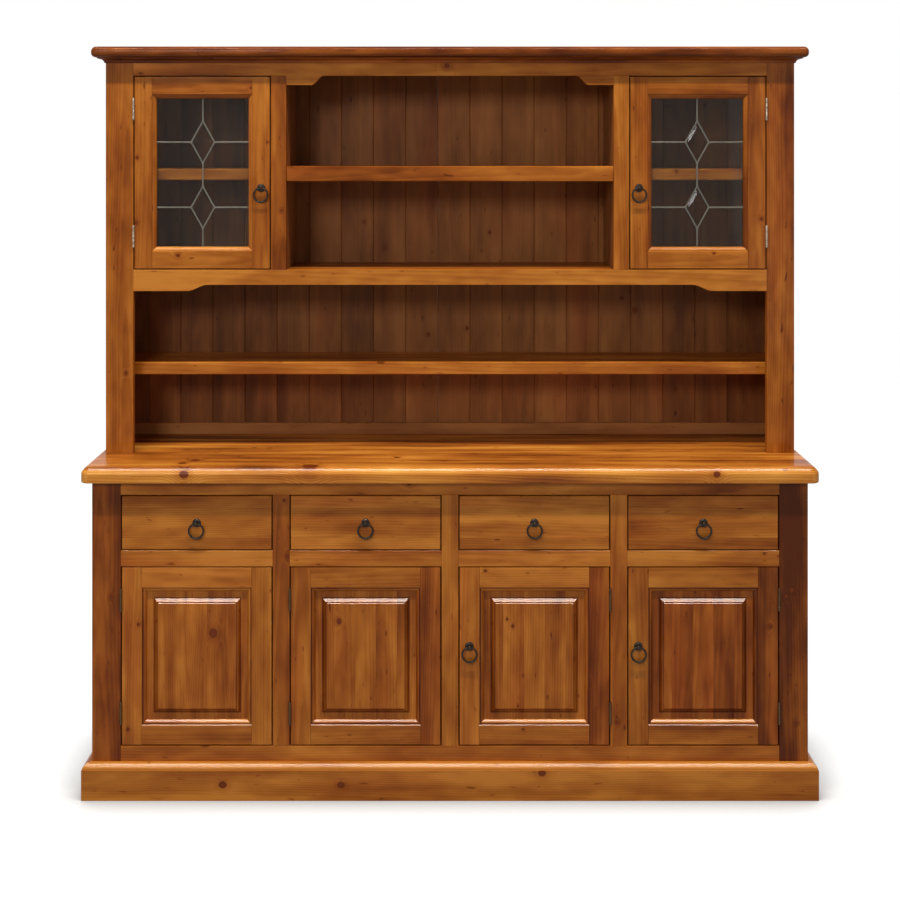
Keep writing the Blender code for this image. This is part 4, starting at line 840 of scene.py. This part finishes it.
door_woods = [
    [dict(tone=0.05), dict(tone=0.18, knots=[(0.322, -0.562, 0.006)]), dict(tone=0.35, red=0.1), dict(tone=0.05)],
    [dict(tone=0.11), dict(tone=0.0, red=0.28), dict(tone=0.18), dict(tone=0.04)],
    [
        dict(tone=0.10, knots=[(0.438, 0.088, 0.005), (0.370, 0.088, 0.005)]),
        dict(tone=-0.01, red=0.25, knots=[(0.317, 0.381, 0.006)]), dict(tone=0.20, red=0.1), dict(tone=0.04),
    ],
    [
        dict(tone=0.0), dict(tone=-0.43, red=0.05, knots=[(0.475, 0.894, 0.005), (0.423, 0.856, 0.004)]),
        dict(tone=0.10), dict(tone=0.04),
    ],
]
panel_woods = [
    dict(tone=0.16, red=0.15, knots=[(0.456, -0.660, 0.0115)]),
    dict(tone=0.07, red=0.06, knots=[(0.489, -0.309, 0.007)]),
    dict(tone=0.06, red=0.04, knots=[(0.4755, 0.175, 0.005), (0.495, 0.159, 0.004), (0.253, 0.189, 0.003)]),
    dict(tone=-0.04, red=0.1),
]
doors = zip(bays, base_axes, door_woods, panel_woods)
for number, ((low_x, high_x), axis, woods, panel_wood) in enumerate(doors, 1):
    body = f"base_door_{number}"
    shapes = door_members(
        low_x + SWING, high_x - SWING, door_low, door_high, base_front,
        member=0.057, moulding_width=0.0125, moulding_depth=0.0105, groove=0.0066, facing=DOOR_FLAT, woods=woods,
    )
    assemble(f"{body}_stiles_and_rails", shapes, stained_pine, body, "pine", f"{body}_frame")
    low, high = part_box(f"{body}_panel")
    panel = fielded_panel(low, high, border=0.029, bevel=0.0080, tongue=0.006, plank=0.058, **panel_wood)
    assemble(f"{body}_fielded_panel", [panel], stained_pine, body, "pine", f"{body}_panel")
    halves = hinge_halves([axis], base_hinge_heights, base_front, False)
    assemble(f"{body}_hinges_moving", halves, hinge_brass, body, "iron")

# ---------------- Hutch carcase
# Sides like those of the base, two partitions beside the centre compartment and one floor under all three
# cupboards, housed and glued.
for side in ("left", "right"):
    single_board(f"hutch_side_{side}", stained_pine, "pine", "zyx", plank=0.139, tone=0.06)
    single_board(f"hutch_partition_{side}", inside_pine, "inside_pine", "zyx", plank=0.13)
single_board("cupboard_floor", stained_pine, "pine", "xyz", plank=0.13)

# ---------------- Face frame of the hutch
# Posts, mid stiles and two rails of 22 mm pine. The top rail has a bracket cut at each end of the centre
# opening, and the mid rail drops below both glazed doors.
hutch_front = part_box("centre_shelf")[0][1]
side_low, side_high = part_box("hutch_side_right")
hutch_inside, hutch_foot = side_low[1] - JOINT, side_low[2]
hutch_half, hutch_top = side_high[0], side_high[2]
cupboard_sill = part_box("cupboard_floor")[1][2]
glazed_low, glazed_high = (corner[2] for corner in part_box("glazed_door_left_frame"))
cupboard_head = glazed_high + SWING
centre_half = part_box("centre_shelf")[1][0] + JOINT
light_low, light_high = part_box("glazed_door_right_glass")
sight_middle, opening_half = (light_low[0] + light_high[0]) / 2, 0.199
glazed_inner, glazed_outer = sight_middle - opening_half, sight_middle + opening_half
mid_rail_low = cupboard_sill - 0.044


def cut_out_rail(half, top, places, levels, radius=0.0012, **wood):
    """A rail whose lower edge follows a curve, given for its right half: at each x its section is a rectangle
    with eased corners, from the curve's level up to the rail's top."""
    x = np.concatenate([[EDGE_GAP - half], -places[::-1], places, [half - EDGE_GAP]])
    under = np.concatenate([levels[-1:], levels[::-1], levels, levels[-1:]])
    behind, upper = np.repeat([[0, 1, 1, 0], [0, 0, 1, 1]], 4, axis=1)
    turn = np.repeat(np.array([2, 3, 0, 1]) * np.pi / 2, 4) + np.tile(np.linspace(0, np.pi / 2, 4), 4)
    inward = EDGE_GAP + radius
    y = np.where(behind, hutch_inside - inward, hutch_front + inward) + radius * np.cos(turn)
    z = np.where(upper, top - inward, under[:, None] + radius) + radius * np.sin(turn)
    return cut_from(skin(np.stack(np.broadcast_arrays(x[:, None], y, z), axis=-1)), "xzy", **wood)


def shoulder(start, end, first, last, steps=14):
    """The slope of a cut-out rail: half a cosine wave from one level to the other."""
    share = np.linspace(0, 1, steps)
    return start + (end - start) * share, first + (last - first) * (1 - np.cos(np.pi * share)) / 2


bracket_start, bracket_low = centre_half - 0.072, cupboard_head - 0.027
rise_x, rise_z = shoulder(bracket_start - 0.036, bracket_start, cupboard_head, bracket_low)
bracket_x = np.concatenate([rise_x, [centre_half - 0.0001, centre_half + 0.0001]])
bracket_z = np.concatenate([rise_z, [bracket_low, cupboard_head]])
top_rail = cut_out_rail(
    glazed_outer, hutch_top, bracket_x, bracket_z, tone=0.08, knots=[(-0.009, 2.0457, 0.0075)],
)
drop_x, drop_z = shoulder(glazed_outer - 0.215, glazed_outer - 0.155, mid_rail_low, mid_rail_low - 0.018)
mid_rail = cut_out_rail(glazed_outer, cupboard_sill, drop_x, drop_z, tone=0.26)
hutch = dict(front=hutch_front, inside=hutch_inside)
frame_boards = [
    upright(-hutch_half, -glazed_outer, hutch_foot, hutch_top, **hutch, tone=0.10, red=0.10),
    upright(glazed_outer, hutch_half, hutch_foot, hutch_top, **hutch, tone=-0.10),
    upright(-glazed_inner, -centre_half, cupboard_sill, cupboard_head, **hutch, tone=-0.24, red=-0.2),
    upright(centre_half, glazed_inner, cupboard_sill, cupboard_head, **hutch, tone=0.16, red=-0.08),
    top_rail, mid_rail,
]
assemble("hutch_face_frame_boards", frame_boards, stained_pine, "carcase", "pine", "hutch_face_frame")

hinge_inset = 0.095
hutch_hinge_heights = (glazed_low + hinge_inset, glazed_high - hinge_inset)
hutch_axes = [(hand * (glazed_outer - SWING / 2), hand) for hand in (-1, 1)]
fixed_halves = hinge_halves(hutch_axes, hutch_hinge_heights, hutch_front, True)
# The hutch's hinges get a paler copy of the hinges' brass, a painted sheen standing in for the bright line their
# knuckles catch.
brass_with_painted_sheen = dulled_metal(
    "brass_with_painted_sheen", (0.42, 0.33, 0.24), (0.16, 0.11, 0.07), rough=0.20, metallic=1.0, grain_size=160
)
assemble("hutch_hinges_fixed", fixed_halves, brass_with_painted_sheen, "carcase", "iron")

# ---------------- Back boards
# Tongued boards about 100 mm wide, stained but not varnished, with a V along each joint. They are nailed
# into a rebate behind the sides. The boards a little right of the middle are painted paler and those toward
# the ends darker, painted light and shade inside the hutch.
low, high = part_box("back_boards")
BACK_BOARD, NARROWEST = 0.0995, 0.006  # a board's width, and the least that one at an end may have
joints = 0.062 + BACK_BOARD * np.arange(-10, 9)
joints = joints[(joints > low[0] + NARROWEST) & (joints < high[0] - NARROWEST)]
edges = np.concatenate([[low[0]], joints, [high[0]]])
V_DEPTH, BACK_EASE = 0.0022, 0.001  # the chamfers of the V joints and of the edges behind them
back_knots = [(1.25, 0.0526, 0.006), (1.343, 0.5325, 0.005), (1.306, 0.573, 0.009)]
back_woods = ((0.0, 0.05), (0.05, 0.1), (-0.04, 0.0), (0.03, 0.0), (-0.03, 0.12))
shapes = []
for number, (left, right) in enumerate(zip(edges[:-1], edges[1:])):
    left_v = V_DEPTH if number else 0.0
    right_v = V_DEPTH if number < len(edges) - 2 else 0.0
    left, right = left + EDGE_GAP, right - EDGE_GAP
    section = np.array([
        (left + BACK_EASE, high[1]), (right - BACK_EASE, high[1]), (right, high[1] - BACK_EASE),
        (right, low[1] + right_v), (right - right_v, low[1]), (left + left_v, low[1]), (left, low[1] + left_v),
        (left, high[1] - BACK_EASE),
    ])
    middle = (left + right) / 2
    here = [knot for knot in back_knots if left < knot[1] < right]
    loops = np.stack([np.column_stack([section, np.full(len(section), z)]) for z in (low[2], high[2])])
    # painted light and shade: boards near 0.26 m right of the middle are paler, those toward the ends darker
    painted_light_and_shade = 0.32 * np.exp(-(((middle - 0.26) / 0.34) ** 2)) - 0.16
    own_tone, own_red = back_woods[number % len(back_woods)]
    shapes.append(cut_from(skin(loops), "zxy", tone=painted_light_and_shade + 0.04 + own_tone, red=own_red, knots=here))
assemble("back_boards_jointed", shapes, inside_pine, "carcase", "inside_pine", "back_boards")

# ---------------- Shelves
# Shelves of 20 mm pine with a deeper lip glued along the front. The centre shelf is flush with the frame,
# those behind the glass stand back, and the plate shelf runs the whole width of the open section.
LIP_DEEP, SHELF_THICK = 0.022, 0.020
lip_tones = {"centre_shelf": 0.0, "cupboard_shelf_left": 0.08, "cupboard_shelf_right": 0.06, "plate_shelf": 0.21}
for name, lip_tone in lip_tones.items():
    low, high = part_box(name)
    lip_back = low[1] + LIP_DEEP
    shelf_low, shelf_high = (low[0], lip_back, high[2] - SHELF_THICK), (high[0], high[1], high[2] - 0.0004)
    shapes = [
        board(low, (high[0], lip_back, high[2]), "xzy", 0.0022, tone=lip_tone),
        board(shelf_low, shelf_high, "xyz", 0.0006, plank=0.11),
    ]
    assemble(f"{name}_boards", shapes, stained_pine, "carcase", "pine", name)
single_board("back_rail", inside_pine, "inside_pine", "xzy", 0.0016, tone=0.30)

# ---------------- Bed mould and cornice
# A round-edged top board that overhangs the hutch, over a small cove mitred round the front and sides.
low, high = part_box("bed_mould")
x, y = hutch_half + JOINT, hutch_front - JOINT
reach = high[0] - x
edge = 0.003
angle = np.linspace(0, np.pi / 2, 9)[1:]
cove = [(0, low[2]), (edge, low[2])]
cove += list(zip(edge + (reach - edge) * (1 - np.cos(angle)), low[2] + (high[2] - low[2] - edge) * np.sin(angle)))
cove += [(reach, high[2]), (0, high[2])]
mould_runs = runs_round(cove, x, y, high[1], tone=-0.20, red=0.1)
assemble("bed_mould_runs", mould_runs, stained_pine, "carcase", "pine", "bed_mould")
low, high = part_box("cornice")
cornice_edge = worked_edge(radius=0.0145, flat=0, facing=45)
cornice_shape = rounded_slab(low, high, cornice_edge, under_radius=0.0125, corner_radius=0.016)
cornice = cut_from(cornice_shape, "xyz", plank=0.11, tone=-0.40, red=-0.1, luck=2)
assemble("cornice_board", [cornice], stained_pine, "carcase", "pine", "cornice")

# ---------------- Glazed doors
# Frames like those of the base doors, with one sheet of clear glass, two bevelled diamonds on its face and
# half-round lead cames over it, soldered where they cross. The glass is tinted grey, painted shade that darkens
# the cupboards seen through it and the light that reaches them.
# painted shade: the grey tint darkens what is seen through the glass, and the grey let through for lamp rays dims
# the cupboards
clear_glass, nodes, link, shader = new_material("clear_glass", {
    "Base Color": (0.60, 0.63, 0.61, 1), "Transmission Weight": 1.0, "IOR": 1.22,
})
spot = put(nodes, "TexCoord").outputs["Object"]
waves = noise(nodes, spot, 22.0, 2.0)
haze = put(nodes, "MapRange", {0: noise(nodes, spot, 70.0, 3.0), 3: 0.0, 4: 0.05}).outputs[0]
link(haze, shader.inputs["Roughness"])
link(put(nodes, "Bump", {"Height": waves, "Strength": 0.06, "Distance": 0.002}).outputs[0], shader.inputs["Normal"])
lets_light = put(nodes, "BsdfTransparent", {"Color": (0.38, 0.40, 0.39, 1)}).outputs[0]
in_shadow = put(nodes, "LightPath").outputs["Is Shadow Ray"]
mixed = put(nodes, "MixShader", {0: in_shadow, 1: shader.outputs[0], 2: lets_light})
link(mixed.outputs[0], nodes["Material Output"].inputs["Surface"])

lead_came = dulled_metal(
    "lead_came", (0.150, 0.136, 0.108), (0.100, 0.090, 0.072), rough=0.42, metallic=0.6, grain_size=320
)
CAME, CAME_RISE = 0.0045, 0.0014  # a came's width, and how far it stands out
GLAZED_FLAT = 37.2


def came(start, end, y):
    """A came between two points of the front plane: a half-round section, half width times cos t across and
    rise times sin t forward, carried from one point to the other."""
    start, end = np.array(start, float), np.array(end, float)
    way = (end - start) / np.linalg.norm(end - start)
    side = np.array([way[1], -way[0]])
    t = np.linspace(0, np.pi, 9)
    loops = []
    for point in (start, end):
        flat = point + (CAME / 2 * np.cos(t))[:, None] * side
        loops.append(np.column_stack([flat[:, 0], y - CAME_RISE * np.sin(t), flat[:, 1]]))
    return plain(skin(np.stack(loops)))


def solder(point, y):
    """A solder joint: a flat dome, radius cos a across and rise sin a forward."""
    a = np.linspace(0.02, np.pi / 2, 6)
    outline = list(zip(0.0036 * np.cos(a), -0.0002 - (CAME_RISE + 0.0001) * np.sin(a)))
    return plain(turned([(0.0036, 0)] + outline, 16, (point[0], y, point[1]), "y"))


door_sides = (("left", -1, -0.06, 0.24), ("right", 1, 0.0, -0.12))
for (side, hand, left_tone, right_tone), axis in zip(door_sides, hutch_axes):
    body = f"glazed_door_{side}"
    low_x, high_x = sorted((hand * (glazed_inner + SWING), hand * (glazed_outer - SWING)))
    woods = [dict(tone=left_tone), dict(tone=right_tone, red=-0.1), dict(tone=-0.04), dict(tone=0.06, red=-0.2)]
    shapes = door_members(
        low_x, high_x, glazed_low, glazed_high, hutch_front,
        member=0.052, moulding_width=0.012, moulding_depth=0.0125, groove=0.0059, facing=GLAZED_FLAT, woods=woods,
    )
    assemble(f"{body}_stiles_and_rails", shapes, stained_pine, body, "pine", f"{body}_frame")
    halves = hinge_halves([axis], hutch_hinge_heights, hutch_front, False)
    assemble(f"{body}_hinges_moving", halves, brass_with_painted_sheen, body, "iron")

    low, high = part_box(f"{body}_lead")
    middle_x, middle_z, back = (low[0] + high[0]) / 2, (low[2] + high[2]) / 2, high[1]
    half_x, half_z = (high[0] - low[0]) / 2, (high[2] - low[2]) / 2
    upper, lower = middle_z + 0.0885, middle_z - 0.101
    wide, tall = 0.034, 0.061
    lines, joints = [], []
    for level in (upper, lower):
        corners = [(middle_x - wide, level), (middle_x, level + tall)]
        corners += [(middle_x + wide, level), (middle_x, level - tall)]
        joints += corners
        lines += zip(corners, corners[1:] + corners[:1])
        lines += [((middle_x - half_x, level), corners[0]), (corners[2], (middle_x + half_x, level))]
    uprights = ((upper + tall, middle_z + half_z), (lower + tall, upper - tall), (middle_z - half_z, lower - tall))
    lines += [((middle_x, start), (middle_x, end)) for start, end in uprights]
    shapes = [came(start, end, back) for start, end in lines] + [solder(joint, back) for joint in joints]
    assemble(f"{body}_cames", shapes, lead_came, body, "lead", f"{body}_lead")
    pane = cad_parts[f"{body}_glass"]
    pane.data.materials.clear()
    pane.data.materials.append(clear_glass)
